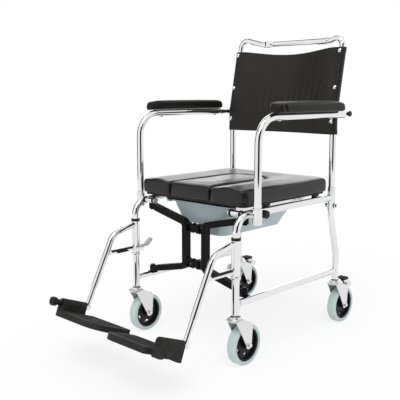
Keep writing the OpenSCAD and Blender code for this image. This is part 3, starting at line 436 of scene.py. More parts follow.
class Shape:
    """Shapes drawn in millimetres with bmesh operators."""

    @staticmethod
    def revolve(profile: Profile, closed: bool = False, steps: int = 48) -> BMesh:
        """Spins a line of (radius, height) points round +Z.

        Args:
            profile: The points of the line.
            closed: True for a ring, whose last point joins its first.
            steps: Number of steps in the turn.

        Returns:
            The shape, which is closed where the line is a ring or ends on the axis.
        """
        bm = bmesh.new()
        line = [bm.verts.new((r, 0, z)) for r, z in profile]
        pairs = list(zip(line, line[1:])) + ([(line[-1], line[0])] if closed else [])
        edges = [bm.edges.new(pair) for pair in pairs]
        bmesh.ops.spin(bm, geom=line + edges, cent=(0, 0, 0), axis=(0, 0, 1), angle=2 * math.pi, steps=steps,
                       use_merge=True)
        bmesh.ops.remove_doubles(bm, verts=bm.verts, dist=POLE_GAP_MM)
        bmesh.ops.recalc_face_normals(bm, faces=bm.faces)
        return bm

    @staticmethod
    def block(size: Sequence[float], centre: Sequence[float], edge: float) -> BMesh:
        """Makes a block with rounded edges.

        Args:
            size: Lengths along X, Y and Z.
            centre: Its middle.
            edge: Radius of its edges.

        Returns:
            The closed shape.
        """
        bm = bmesh.new()
        bmesh.ops.create_cube(bm, size=1.0)
        bmesh.ops.scale(bm, vec=size, verts=bm.verts)
        Shape.round_edges(bm, edge)
        bmesh.ops.translate(bm, vec=centre, verts=bm.verts)
        return bm

    @staticmethod
    def hexagon(across: float, height: float, edge: float) -> BMesh:
        """Makes a hexagon nut standing on z = 0, with its rim taken off.

        Args:
            across: Width across its flats.
            height: Its height.
            edge: Radius of its edges.

        Returns:
            The closed shape.
        """
        bm = bmesh.new()
        bmesh.ops.create_circle(bm, cap_ends=True, segments=6, radius=across / math.sqrt(3))
        _, verts = Shape._extrude(bm, bm.faces[:])
        bmesh.ops.translate(bm, vec=(0, 0, height), verts=verts)
        bmesh.ops.recalc_face_normals(bm, faces=bm.faces)
        Shape.round_edges(bm, edge)
        return bm

    @staticmethod
    def _extrude(bm: BMesh, faces: list[bmesh.types.BMFace]) -> tuple[list[Any], list[Any]]:
        """Extrudes faces without moving them yet.

        Args:
            bm: The shape.
            faces: The faces to extrude.

        Returns:
            The new faces and the new points.
        """
        grown = bmesh.ops.extrude_face_region(bm, geom=faces)["geom"]
        return ([g for g in grown if isinstance(g, bmesh.types.BMFace)],
                [g for g in grown if isinstance(g, bmesh.types.BMVert)])

    @staticmethod
    def round_edges(bm: BMesh, radius: float, segments: int = 2) -> None:
        """Rounds every edge of a shape that turns by more than a few degrees.

        Args:
            bm: The shape.
            radius: Radius of the rounding.
            segments: Steps in it.
        """
        sharp = [e for e in bm.edges if len(e.link_faces) == 2 and e.calc_face_angle(0.0) > SHARP_EDGE]
        bmesh.ops.bevel(bm, geom=sharp, offset=radius, offset_type="OFFSET", segments=segments, profile=0.5,
                        affect="EDGES", material=-1, clamp_overlap=True)

    @staticmethod
    def tube(path: Sequence[Sequence[float]], radius: float, sides: int = 12) -> BMesh:
        """Makes a round bar along a line of points, with closed ends.

        Args:
            path: The points, in order.
            radius: Radius of the bar.
            sides: Faces round the bar.

        Returns:
            The closed shape.
        """
        points = [Vector(p) for p in path]
        bm = bmesh.new()
        heading = (points[1] - points[0]).normalized()
        turn = Vector((0, 0, 1)).rotation_difference(heading).to_matrix().to_4x4()
        bmesh.ops.create_circle(bm, cap_ends=True, segments=sides, radius=radius,
                                matrix=Matrix.Translation(points[0]) @ turn)
        faces = bm.faces[:]
        for i, point in enumerate(points[1:], 1):
            ahead = points[min(i + 1, len(points) - 1)] - points[i - 1]
            faces, verts = Shape._extrude(bm, faces)
            bmesh.ops.translate(bm, vec=point - points[i - 1], verts=verts)
            bend = heading.rotation_difference(ahead.normalized()).to_matrix().to_4x4()
            bmesh.ops.rotate(bm, cent=point, matrix=bend, verts=verts)
            heading = ahead.normalized()
        bmesh.ops.recalc_face_normals(bm, faces=bm.faces)
        return bm


def link_mesh(name: str, bm: BMesh) -> Object:
    """Makes an object of a shape, and links it to the scene.

    Args:
        name: The object's name.
        bm: Its shape, in metres. It is freed.

    Returns:
        The new object.
    """
    mesh = bpy.data.meshes.new(name)
    bm.to_mesh(mesh)
    bm.free()
    made = bpy.data.objects.new(name, mesh)
    bpy.context.scene.collection.objects.link(made)
    return made


@dataclass
class Bench:
    """Turns shapes into finished pieces of the chair."""

    shelf: Shelf
    place: Place
    frame: dict[str, Any]
    made: list[str] = field(default_factory=list)

    def form(self, node: str) -> BMesh:
        """Copies a CAD node's mesh, and joins its loose triangles.

        Args:
            node: The node's name.

        Returns:
            The joined shape, in metres.
        """
        bm = bmesh.new()
        bm.from_mesh(self.frame["nodes"][node].data)
        bmesh.ops.remove_doubles(bm, verts=bm.verts, dist=MERGE_GAP_M)
        bmesh.ops.recalc_face_normals(bm, faces=bm.faces)
        return bm

    def gather(self, shapes: Sequence[BMesh]) -> BMesh:
        """Puts several shapes into the first one, and frees the others.

        Args:
            shapes: The shapes.

        Returns:
            The first shape, which now holds them all.
        """
        first = shapes[0]
        for other in shapes[1:]:
            spare = bpy.data.meshes.new("spare")
            other.to_mesh(spare)
            other.free()
            first.from_mesh(spare)
            bpy.data.meshes.remove(spare)
        return first

    def put(self, bm: BMesh, matrix: Matrix) -> BMesh:
        """Moves a shape, and turns its faces outwards again where the move mirrors it.

        Args:
            bm: The shape.
            matrix: The move.

        Returns:
            The same shape.
        """
        bmesh.ops.transform(bm, matrix=matrix, verts=bm.verts)
        if matrix.determinant() < 0:
            bmesh.ops.reverse_faces(bm, faces=bm.faces)
        return bm

    def piece(self, name: str, bm: BMesh, body: str, finish: Finish, sharp: float = 32.0,
              replaces: Sequence[str] = ()) -> Object:
        """Makes an object of a shape that lies in the frame.

        Args:
            name: The piece's name.
            bm: Its shape, in metres. It is freed.
            body: The CAD body that it rides on.
            finish: Its finish.
            sharp: Edges that turn by more than this many degrees stay sharp.
            replaces: CAD nodes that it stands for.

        Returns:
            The new object.
        """
        made = link_mesh(name, bm)
        made.data.shade_smooth()
        made.data.set_sharp_from_angle(angle=math.radians(sharp))
        return self.fit(made, body, finish, replaces)

    def fit(self, made: Object, body: str, finish: Finish, replaces: Sequence[str] = ()) -> Object:
        """Gives an object its finish, its body and the nodes that it stands for.

        Args:
            made: The object.
            body: The CAD body that it rides on.
            finish: Its finish.
            replaces: CAD nodes that it stands for.

        Returns:
            The same object.
        """
        made.data.materials.clear()
        made.data.materials.append(self.shelf.material(finish))
        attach(made, body)
        if replaces:
            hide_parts(*replaces)
        self.made.append(made.name)
        LOG.info("piece %s rides on %s", made.name, body)
        return made

    def dress_nodes(self) -> None:
        """Gives each CAD node the finish of its slot in the record."""
        by_slot = {finish.slot: finish for finish in FINISHES}
        slots = {row["node"]: row["material_slot"] for row in self.frame["record"]["subparts"]}
        for name, node in self.frame["nodes"].items():
            node.data.materials.clear()
            node.data.materials.append(self.shelf.material(by_slot[slots[name]]))


@dataclass
class Upholstery:
    """A foam piece in a sewn cover: the CAD form, swollen a little by a cloth simulation.

    Attributes:
        name: Name of the cushion.
        node: CAD node that it stands for.
        body: CAD body that it rides on.
        finish: Finish of the cover.
        fill: How tight the cover is, from 0 to 1; not used.
        voxel: Grid of the even mesh.
        ease_share: Strength of the smoothing after it.
        ease_steps: Rounds of that smoothing.
        shrink: How far the cover is drawn in before it swells.
        cap: The furthest that a point may swell.
        pressure: Pressure of the swelling.
        frames: Steps of the simulation.
        quality: Steps of the solver in a frame.
        mass: Mass of a point of the cloth, in kilograms.
        stretch: Stiffness of the cloth against stretching and squeezing.
        bend: Stiffness of the cloth against bending.
        pinned_height: Height above the lowest point up to which the cloth is held.
        slope_from: Place across from which the cover slopes down outwards.
        slope_over: Width over which the slope reaches its full drop.
        slope_drop: Drop of its top there.
        slope_hang: Drop of its underside there.
        raise_top: How far its top is raised above the CAD form.
        hang_round: CAD node whose edge the rim hangs over, or none.
        hang_drop: How far the rim hangs down.
        hang_from: Distance past that edge at which the hang starts.
        hang_ease: Width over which it reaches its full drop.
        hang_blend: Height over which it dies out upwards.
    """

    name: str
    node: str
    body: str
    finish: Finish
    fill: float
    voxel: float = 5.0
    ease_share: float = 0.5
    ease_steps: int = 4
    shrink: float = 1.2
    cap: float = 2.0
    pressure: float = 4.0
    frames: int = 20
    quality: int = 4
    mass: float = 0.2
    stretch: float = 20.0
    bend: float = 2.0
    pinned_height: float = 4.0
    slope_from: float = 0.0
    slope_over: float = 1.0
    slope_drop: float = 0.0
    slope_hang: float = 0.0
    raise_top: float = 0.0
    hang_round: str = ""
    hang_drop: float = 11.5
    hang_from: float = 2.5
    hang_ease: float = 3.0
    hang_blend: float = 26.0

    def build(self, bench: Bench) -> Object:
        """Makes the cushion.

        Args:
            bench: The bench that holds the frame and the materials.

        Returns:
            The cushion, which replaces its CAD node.
        """
        made = self._cover(bench)
        self._swell(made)
        if self.hang_round:
            self._hang(made)
        return self.dress(made, bench, self.body, (self.node,))

    def dress(self, made: Object, bench: Bench, body: str, nodes: Sequence[str]) -> Object:
        """Args:
            made: The cover.
            bench: The bench that holds the materials.
            body: The CAD body that it rides on.
            nodes: CAD nodes that it stands for.

        Returns:
            The same cover.
        """
        made.data.shade_smooth()
        bench.fit(made, body, self.finish, nodes)
        smooth = made.modifiers.new("smooth_cover", "SUBSURF")
        smooth.levels = smooth.render_levels = 1
        return made

    def _cover(self, bench: Bench) -> Object:
        """Lays an even mesh over the CAD form, draws it in, and slopes or raises its top.

        Args:
            bench: The bench that holds the frame.

        Returns:
            The cover.
        """
        made = link_mesh(self.name, bench.form(self.node))
        remesh = made.modifiers.new("even", "REMESH")
        remesh.mode = "VOXEL"
        remesh.voxel_size = self.voxel * MM
        ease = made.modifiers.new("ease", "SMOOTH")
        ease.factor, ease.iterations = self.ease_share, self.ease_steps
        self._bake(made)
        bm = bmesh.new()
        bm.from_mesh(made.data)
        bm.normal_update()
        for vert in bm.verts:
            vert.co -= vert.normal * self.shrink * MM
        low = min(vert.co.z for vert in bm.verts)
        tall = max(vert.co.z for vert in bm.verts) - low
        for vert in bm.verts:
            out = max(0.0, vert.co.x / MM - self.slope_from) / self.slope_over
            share = (vert.co.z - low) / tall
            vert.co.z += ((self.raise_top - self.slope_drop * out) * share - self.slope_hang * out * (1 - share)) * MM
        bm.to_mesh(made.data)
        bm.free()
        return made

    def _hang(self, made: Object) -> None:
        """Draws the rim of the cover down over the edge of the board below.

        Args:
            made: The cover.
        """
        low, high = (Vector(corner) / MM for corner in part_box(self.hang_round))
        floor = min(vert.co.z for vert in made.data.vertices) / MM
        for vert in made.data.vertices:
            at = vert.co / MM
            past = max(low.x - at.x, at.x - high.x, low.y - at.y, at.y - high.y)
            share = min(1.0, max(0.0, (past - self.hang_from) / self.hang_ease))
            rest = max(0.0, 1.0 - (at.z - floor) / self.hang_blend)
            vert.co.z -= self.hang_drop * MM * share * rest

    @staticmethod
    def _bake(made: Object) -> None:
        """Replaces an object's mesh by what its modifiers make of it, and drops them.

        Args:
            made: The object.
        """
        graph = bpy.context.evaluated_depsgraph_get()
        graph.update()
        baked = bpy.data.meshes.new_from_object(made.evaluated_get(graph))
        made.modifiers.clear()
        made.data = baked
        baked.name = made.name

    def _swell(self, made: Object) -> None:
        """Runs the cloth under pressure, and lets no point move further than the cap.

        Args:
            made: The cover.
        """
        rest = [v.co.copy() for v in made.data.vertices]
        floor = min(co.z for co in rest) + self.pinned_height * MM
        pins = made.vertex_groups.new(name="seat")
        pins.add([i for i, co in enumerate(rest) if co.z < floor], 1.0, "REPLACE")
        cloth = made.modifiers.new("cover", "CLOTH")
        cloth.settings.quality = self.quality
        cloth.settings.mass = self.mass
        cloth.settings.tension_stiffness = cloth.settings.compression_stiffness = self.stretch
        cloth.settings.bending_stiffness = self.bend
        cloth.settings.use_pressure = True
        cloth.settings.uniform_pressure_force = self.pressure
        cloth.settings.effector_weights.gravity = 0.0
        cloth.settings.vertex_group_mass = pins.name
        cloth.point_cache.frame_start, cloth.point_cache.frame_end = 1, self.frames
        scene = bpy.context.scene
        for step in range(1, self.frames + 1):
            scene.frame_set(step)
        graph = bpy.context.evaluated_depsgraph_get()
        swollen = [v.co.copy() for v in made.evaluated_get(graph).data.vertices]
        made.modifiers.clear()
        made.vertex_groups.clear()
        reach = self.cap * MM
        for vert, old, new in zip(made.data.vertices, rest, swollen):
            move = new - old
            vert.co = old + (move * (reach / move.length) if move.length > reach else move)
        scene.frame_set(1)


@dataclass
class Seat:
    """Horseshoe pad and lift-out insert."""

    fill: float = 0.85
    cap: float = 0.7
    pressure: float = 1.2
    insert_raise: float = 4.0

    def build(self, bench: Bench) -> None:
        """Makes both cushions.

        Args:
            bench: The bench that makes the pieces.
        """
        for name, node, body, lift in (("seat_cushion", "seat_pad", "seat", 0.0),
                                       ("insert_cushion", "seat_insert", "insert", self.insert_raise)):
            Upholstery(name, node, body, CUSHION, fill=self.fill, cap=self.cap, pressure=self.pressure,
                       hang_round="seat_board", raise_top=lift).build(bench)


@dataclass
class Arm:
    """Padded arm tops with the moulded arch at the front of the outer side."""

    arm_x: float = 250.0
    pad_low: float = 740.3
    fill: float = 0.9
    voxel: float = 4.0
    cap: float = 1.5
    outer_drop: float = 4.0
    outer_hang: float = 5.0
    arch_x: float = 284.4
    arch_y: float = 132.0
    arch_lift: float = 3.0
    arch_leg: float = 9.0
    arch_r: float = 12.5
    arch_bar: float = 2.6
    arch_step: int = 15
    screw_ys: tuple[float, float] = (150.0, 420.0)
    screw_drop: float = 22.2
    screw: Profile = ((0, 0), (6.0, 0), (6.0, 1), (4.5, 2.6), (2.4, 3), (2.2, 1.8), (0, 1.8))

    def build(self, bench: Bench) -> None:
        """Makes both pads from one simulated form, and their trim.

        Args:
            bench: The bench that makes the pieces.
        """
        maker = Upholstery("arm_cushion_left", "arm_pad_left", "arm_left", ARM_SKIN, fill=self.fill, voxel=self.voxel,
                           cap=self.cap, slope_from=self.arm_x, slope_drop=self.outer_drop,
                           slope_hang=self.outer_hang, slope_over=self.arch_x - self.arm_x)
        left = maker.build(bench)
        bm = bmesh.new()
        bm.from_mesh(left.data)
        right = link_mesh("arm_cushion_right", bench.put(bm, Matrix.Scale(-1, 4, (1, 0, 0))))
        maker.dress(right, bench, "arm_right", ("arm_pad_right",))
        for side in Side:
            self._trim(bench, side)

    def _trim(self, bench: Bench, side: Side) -> None:
        """Makes the arch on the outer side, and the screws under the tube.

        Args:
            bench: The bench that makes the pieces.
            side: The side of the chair.
        """
        s, r = side.value, self.arch_r
        turns = [math.radians(a) for a in range(0, 181, self.arch_step)]
        arch = [(0, -r, 0)] + [(0, -r * math.cos(a), self.arch_leg + r * math.sin(a)) for a in turns] + [(0, r, 0)]
        bm = bench.put(Shape.tube(arch, self.arch_bar),
                       bench.place.matrix(s * self.arch_x, self.arch_y, self.pad_low + self.arch_lift))
        bench.piece(f"arm_arch_{side.word}", bm, f"arm_{side.word}", ARM_SKIN)
        screws = [bench.put(Shape.revolve(self.screw),
                            bench.place.matrix(s * self.arm_x, y, self.pad_low - self.screw_drop, (0, 0, -1)))
                  for y in self.screw_ys]
        bench.piece(f"arm_screws_{side.word}", bench.gather(screws), f"arm_{side.word}", PLATE)


@dataclass
class Sling:
    """Back sling: a stretched panel, a sleeve round each post, and the snaps.

    The creases are given as depth, turn per millimetre across and up, and for the fine ones a start.
    """

    half_w: float = HALF_TRACK
    foot: float = 661.0
    height: float = 284.0
    ring_r: float = 12.8
    wrap: float = 260.0
    thick: float = 2.6
    belly: float = 22.0
    bow_power: float = 1.5
    flat_edge: float = 24.0
    sag: float = 16.0
    lean_y: float = 487.0
    lean_z: float = 729.0
    lean: float = 10.9
    post_foot: tuple[float, float] = (490.0, 451.0)
    fold_close: float = 189.0
    rib_middle: float = 772.0
    rib_slant: float = 0.16
    rib_half: float = 62.0
    rib_fan: float = 0.0006
    rib_pitch: float = 26.0
    rib_count: int = 13
    rib_depth: float = 1.7
    rib_width: float = 2.6
    crease: Triple = (1.6, 0.021, 0.034)
    fine_crease: tuple[float, float, float, float] = (1.1, 0.045, -0.02, 1.0)
    hem: float = 15.0
    hem_step: float = 0.8
    panel_grid: tuple[int, int] = (260, 90)
    sleeve_grid: tuple[int, int] = (30, 40)
    snap_shares: Triple = (0.15, 0.53, 0.95)
    snap_gap: float = 0.3
    snap: Profile = ((0, 3.6), (3.0, 3.4), (5.4, 2.4), (6.6, 1.0), (7.2, 0.4), (7.2, 0.0), (0, 0.0))

    def post_y(self, z: float) -> float:
        """Finds a back post's axis.

        Args:
            z: Height above the floor.

        Returns:
            The axis's distance behind the front leg at that height.
        """
        if z < self.lean_z:
            share = (self.lean_z - z) / (self.lean_z - self.post_foot[1])
            return self.lean_y + (self.post_foot[0] - self.lean_y) * share
        return self.lean_y + (z - self.lean_z) * math.tan(math.radians(self.lean))

    def front_reach(self, z: float, radius: float) -> float:
        """Level distance from a post's axis to a face that wraps it at a radius."""
        return radius if z < self.lean_z else radius / math.cos(math.radians(self.lean))

    def _hem_step(self, share: float) -> float:
        """How far the doubled cloth of a hem stands out, at a share of the height."""
        return self.hem_step if min(share, 1.0 - share) * self.height < self.hem else 0.0

    def _relief(self, x: float, z: float, share: float) -> float:
        """Adds up ribs, hem and soft creases.

        Args:
            x: Place across.
            z: Height above the floor.
            share: The same height, from 0 at the foot of the cloth to 1 at its top.

        Returns:
            How far the cloth stands forward there.
        """
        middle = self.rib_middle + self.rib_slant * x
        window = max(0.0, 1.0 - ((z - middle) / self.rib_half) ** 2)
        ribs = 0.0
        for i in range(self.rib_count):
            line = (i - (self.rib_count - 1) / 2) * self.rib_pitch * (1.0 + self.rib_fan * (z - middle))
            ribs += math.exp(-((x - line) / self.rib_width) ** 2)
        depth, across, up = self.crease
        crease = depth * math.sin(across * x + up * z) * math.sin(math.pi * share) ** 2
        depth, across, up, start = self.fine_crease
        crease += depth * math.sin(across * x + up * z + start) * share * (1.0 - share) * 4
        return ribs * self.rib_depth * window + self._hem_step(share) + crease * (1.0 - (x / self.half_w) ** 2)

    def build(self, bench: Bench) -> None:
        """Makes the panel, the sleeves and the snaps.

        Args:
            bench: The bench that makes the pieces.
        """
        sleeves = [self._sleeve(bench, side) for side in Side]
        bm = bmesh.new()
        across, up = self.panel_grid
        bmesh.ops.create_grid(bm, x_segments=across, y_segments=up, size=1.0)
        for vert in bm.verts:
            x, share = vert.co.x * self.half_w, (vert.co.y + 1.0) / 2
            z = self.foot + self.height * share
            bow = max(0.0, 1.0 - (x / (self.half_w - self.flat_edge)) ** 2) ** self.bow_power
            y = self.post_y(z) - self.front_reach(z, self.ring_r) + self.belly * bow - self._relief(x, z, share)
            vert.co = bench.place.at(x, y, z - self.sag * share * share * bow)
        bmesh.ops.recalc_face_normals(bm, faces=bm.faces)
        panel = self._cloth(bench, "sling_panel", bm, "right_frame")
        tuple(bench.place.at(-self.half_w, 0, self.foot))
        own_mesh(panel)
        for side in Side:
            self._snaps(bench, side)

    def _cloth(self, bench: Bench, name: str, bm: BMesh, body: str) -> Object:
        """Makes a piece of the cloth, and gives it its thickness.

        Args:
            bench: The bench that makes the pieces.
            name: The piece's name.
            bm: Its shape, in metres. It is freed.
            body: The CAD body that it rides on.

        Returns:
            The new object.
        """
        made = bench.piece(name, bm, body, VINYL, sharp=180.0, replaces=("back_sling",))
        thick = made.modifiers.new("cloth", "SOLIDIFY")
        thick.thickness, thick.offset = self.thick * MM, 0.0
        return made

    def _sleeve(self, bench: Bench, side: Side) -> Object:
        """Makes the cloth that wraps a post, from the front round the outside to the back.

        Args:
            bench: The bench that makes the pieces.
            side: The side of the chair.

        Returns:
            The sleeve.
        """
        bm = bmesh.new()
        around, up = self.sleeve_grid
        bmesh.ops.create_grid(bm, x_segments=around, y_segments=up, size=1.0)
        for vert in bm.verts:
            turn = math.radians(-90.0 + self.wrap / 2 * (vert.co.x + 1.0))
            share = (vert.co.y + 1.0) / 2
            z = self.foot + self.height * share
            reach = self.ring_r + self._hem_step(share)
            x = self.half_w + reach * math.cos(turn)
            y = self.post_y(z) + self.front_reach(z, reach) * math.sin(turn)
            vert.co = bench.place.at(side.value * x, y, z)
        bmesh.ops.recalc_face_normals(bm, faces=bm.faces)
        sleeve = self._cloth(bench, f"sling_sleeve_{side.word}", bm, f"{side.word}_frame")
        return sleeve

    def _snaps(self, bench: Bench, side: Side) -> None:
        """Makes the three domed snaps that hold the cloth on a post.

        Args:
            bench: The bench that makes the pieces.
            side: The side of the chair.
        """
        shapes = []
        out = self.ring_r + self.thick / 2 + self.snap_gap
        for share in self.snap_shares:
            z = self.foot + self.height * share
            tilt = 0.0 if z < self.lean_z else math.radians(self.lean)
            shapes.append(bench.put(Shape.revolve(self.snap, steps=32), bench.place.matrix(
                side.value * self.half_w, self.post_y(z) - out * math.cos(tilt), z + out * math.sin(tilt),
                (0, -math.cos(tilt), math.sin(tilt)))))
        bench.piece(f"sling_domes_{side.word}", bench.gather(shapes), f"{side.word}_frame", PLATE,
                    replaces=(f"sling_snaps_{side.word}",))


@dataclass
class Castor:
    """Trim of one castor: the stepped bearing cover, the seal and the axle nuts.

    The nut is given as width across its flats, height and edge.
    """

    half_w: float = HALF_TRACK
    trail: float = 40.0
    axle_z: float = 62.5
    nut_face: float = 23.8
    nut: Triple = (12.0, 3.2, 0.6)
    cover: Profile = ((23.15, 143.9), (26.2, 144.2), (27.4, 145.6), (27.6, 148.0), (26.8, 150.2), (25.0, 151.6),
                      (22.4, 152.4), (21.6, 153.2), (21.4, 155.2), (20.4, 157.2), (18.4, 158.2), (14.3, 158.4),
                      (14.3, 153.0), (23.15, 153.0))
    seal: Profile = ((14.05, 158.5), (14.9, 158.7), (15.1, 159.5), (14.9, 160.4), (14.05, 160.6))

    def build(self, bench: Bench, side: Side, end: End) -> None:
        """Makes the trim of the castor at one corner.

        Args:
            bench: The bench that makes the pieces.
            side: The side of the chair.
            end: Its front or rear.
        """
        tag = f"{end.word}_{side.word}"
        body = f"castor_{tag}"
        x, y = side.value * self.half_w, end.value
        for name, profile, finish in (("bearing_cover", self.cover, ZINC), ("stem_seal", self.seal, BLACK_PLASTIC)):
            ring = bench.put(Shape.revolve(profile, closed=True, steps=64), bench.place.matrix(x, y, 0))
            bench.piece(f"{name}_{tag}", ring, body, finish)
        nuts = [bench.put(Shape.hexagon(*self.nut),
                          bench.place.matrix(x + way * self.nut_face, y + self.trail, self.axle_z, (way, 0, 0)))
                for way in (-1, 1)]
        bench.piece(f"axle_nuts_{tag}", bench.gather(nuts), body, PLATE)


@dataclass
class Footrest:
    """A footplate with its ribs, the end of its pivot tube and the cover of its latch bar.

    The pivots are given as (Y, Z), the plug and the knob as (radius, distance along the pivot tube).
    """

    half_w: float = HALF_TRACK
    pivot: tuple[float, float] = (-205.3, 134.5)
    left_pivot: tuple[float, float] = (-209.4, 126.5)
    tilt: float = 21.5
    plate_drop: float = 21.0
    plate_edge: float = 1.6
    rib_size: Triple = (150.0, 5.0, 2.0)
    rib_edge: float = 0.8
    rib_lift: float = 0.2
    rib_pitch: float = 17.0
    rib_count: int = 6
    rib_first: float = 4.0
    rib_start: float = 34.0
    plug: Profile = ((0, 101.8), (8.0, 101.7), (10.6, 101.2), (11.4, 100.3), (0, 100.3))
    knob: Profile = ((9.4, 100.6), (9.4, 120.6), (12.5, 122.6), (13.5, 124.1), (13.5, 134.9), (12.9, 136.5),
                     (11.1, 137.3), (4, 137.3), (3, 136.8), (0, 136.8))
    bar_w: float = 8.4
    bar_y: tuple[float, float] = (-105.0, -16.0)
    bar_z: tuple[float, float] = (291.5, 298.2)
    bar_edge: float = 1.2

    def plate_matrix(self, bench: Bench, side: Side) -> Matrix:
        """Finds the move from a plate's own axes (outboard, towards the toe, up) to the frame.

        Args:
            bench: The bench that knows the frame.
            side: The side of the chair.

        Returns:
            The transform for a shape that was drawn in millimetres.
        """
        turn = Matrix.Rotation(math.radians(-self.tilt), 4, "X") @ Matrix.Scale(-1, 4, (0, 1, 0))
        pivot = self.left_pivot if side is Side.LEFT else self.pivot
        place = Matrix.Translation(bench.place.at(side.value * self.half_w, *pivot))
        return place @ Matrix.Scale(side.value, 4, (1, 0, 0)) @ turn @ Matrix.Scale(MM, 4)

    def build(self, bench: Bench, side: Side) -> None:
        """Makes the pieces of one footrest: a knob ends the right pivot tube, and a plug the left one.

        Args:
            bench: The bench that makes the pieces.
            side: The side of the chair.
        """
        matrix = self.plate_matrix(bench, side)
        ribs = [bench.put(Shape.block(self.rib_size, (-self.rib_start - self.rib_size[0] / 2,
                                                      self.rib_first + i * self.rib_pitch,
                                                      -self.plate_drop + self.rib_lift), self.rib_edge), matrix)
                for i in range(self.rib_count)]
        bench.piece(f"plate_ribs_{side.word}", bench.gather(ribs), f"plate_{side.word}", PLATE_PLASTIC)
        self._shell(bench, side)
        end = Shape.revolve(self.plug if side is Side.LEFT else self.knob)
        bench.put(end, Matrix.Rotation(math.radians(-90), 4, "X"))
        bench.piece(f"pivot_cap_{side.word}", bench.put(end, matrix), f"extension_{side.word}", BLACK_PLASTIC)
        near, far = self.bar_y
        low, high = self.bar_z
        cover = Shape.block((self.bar_w, far - near, high - low), (0, 0, 0), self.bar_edge)
        bench.put(cover, bench.place.matrix(side.value * self.half_w, (near + far) / 2, (low + high) / 2))
        bench.piece(f"latch_bar_cover_{side.word}", cover, f"footrest_{side.word}", BLACK_PLASTIC)

    def _shell(self, bench: Bench, side: Side) -> None:
        """Makes a footplate with the rounded edges of a moulding, in the place of its CAD form.

        Args:
            bench: The bench that makes the pieces.
            side: The side of the chair.
        """
        node = f"footplate_{side.word}"
        bm = bench.form(node)
        bmesh.ops.dissolve_limit(bm, angle_limit=FLAT_TURN, verts=bm.verts, edges=bm.edges)
        Shape.round_edges(bm, self.plate_edge * MM, 3)
        bench.piece(f"plate_shell_{side.word}", bm, f"plate_{side.word}", PLATE_PLASTIC, replaces=(node,))


@dataclass
class FrameTrim:
    """Caps, collars and weld beads of one side frame."""

    half_w: float = HALF_TRACK
    tube_r: float = TUBE_R
    rail_z: float = 450.0
    lower_z: float = 192.0
    rear_y: float = End.REAR.value
    socket_y: float = 490.0
    cap_z: float = 424.0
    cap_out: float = 12.8
    cap: Profile = ((0, 6.4), (4.0, 6.1), (7.2, 4.8), (8.4, 2.6), (8.5, 0.2), (0, 0.2))
    stub_y: float = 37.0
    stub_xs: tuple[float, float] = (166.5, 203.5)
    collar: Profile = ((9.6, -3.0), (11.3, -2.8), (11.8, -1.6), (11.8, 1.6), (11.3, 2.8), (9.6, 3.0))
    band_z: float = 272.7
    band: Profile = ((14.05, -4.3), (14.5, -4.5), (14.9, -3.6), (14.9, 3.6), (14.5, 4.5), (14.05, 4.3))
    bead_gap: float = 0.6
    bead: Profile = ((10.6, -1.6), (12.0, -1.2), (12.5, 0.0), (11.8, 1.3), (10.6, 1.6))

    def build(self, bench: Bench, side: Side) -> None:
        """Makes the trim of one side.

        Args:
            bench: The bench that makes the pieces.
            side: The side of the chair.
        """
        s, body, matrix = side.value, f"{side.word}_frame", bench.place.matrix
        caps = [bench.put(Shape.revolve(self.cap, steps=32),
                          matrix(s * (self.half_w + way * self.cap_out), self.socket_y, self.cap_z, (s * way, 0, 0)))
                for way in (-1, 1)]
        bench.piece(f"socket_caps_{side.word}", bench.gather(caps), body, BLACK_PLASTIC)
        collars = [bench.put(Shape.revolve(self.collar, closed=True),
                             matrix(s * x, self.stub_y, self.rail_z, (1, 0, 0)))
                   for x in self.stub_xs]
        bench.piece(f"stub_collars_{side.word}", bench.gather(collars), body, BLACK_PLASTIC)
        band = bench.put(Shape.revolve(self.band, closed=True), matrix(s * self.half_w, 0, self.band_z))
        bench.piece(f"sleeve_band_{side.word}", band, body, PLATE)
        inset = self.tube_r + self.bead_gap
        beads = [bench.put(Shape.revolve(self.bead, closed=True), matrix(s * self.half_w, y, self.lower_z, (0, 1, 0)))
                 for y in (inset, self.rear_y - inset)]
        bench.piece(f"weld_beads_{side.word}", bench.gather(beads), body, PLATE)


@dataclass
class Brake:
    """Ribbed foot pad over a brake pedal."""

    half_w: float = HALF_TRACK
    pad_y: tuple[float, float] = (561.0, 593.0)
    pad_z: tuple[float, float] = (149.5, 157.5)
    width: float = 30.0
    grow: float = 0.6
    edge: float = 1.6
    rib_size: Triple = (26.0, 2.4, 1.6)
    rib_edge: float = 0.5
    rib_lift: float = 0.8
    rib_pitch: float = 5.4
    rib_count: int = 5

    def build(self, bench: Bench, side: Side) -> None:
        """Makes the pad of one rear castor's pedal.

        Args:
            bench: The bench that makes the pieces.
            side: The side of the chair.
        """
        long, tall = self.pad_y[1] - self.pad_y[0], self.pad_z[1] - self.pad_z[0]
        size = [length + 2 * self.grow for length in (self.width, long, tall)]
        shapes = [Shape.block(size, (0, 0, 0), self.edge)]
        shapes += [Shape.block(self.rib_size, (0, (i - (self.rib_count - 1) / 2) * self.rib_pitch,
                                               tall / 2 + self.rib_lift), self.rib_edge)
                   for i in range(self.rib_count)]
        bm = bench.put(bench.gather(shapes), bench.place.matrix(side.value * self.half_w, sum(self.pad_y) / 2,
                                                                sum(self.pad_z) / 2))
        bench.piece(f"pedal_pad_{side.word}", bm, f"brake_{side.word}", BLACK_PLASTIC)


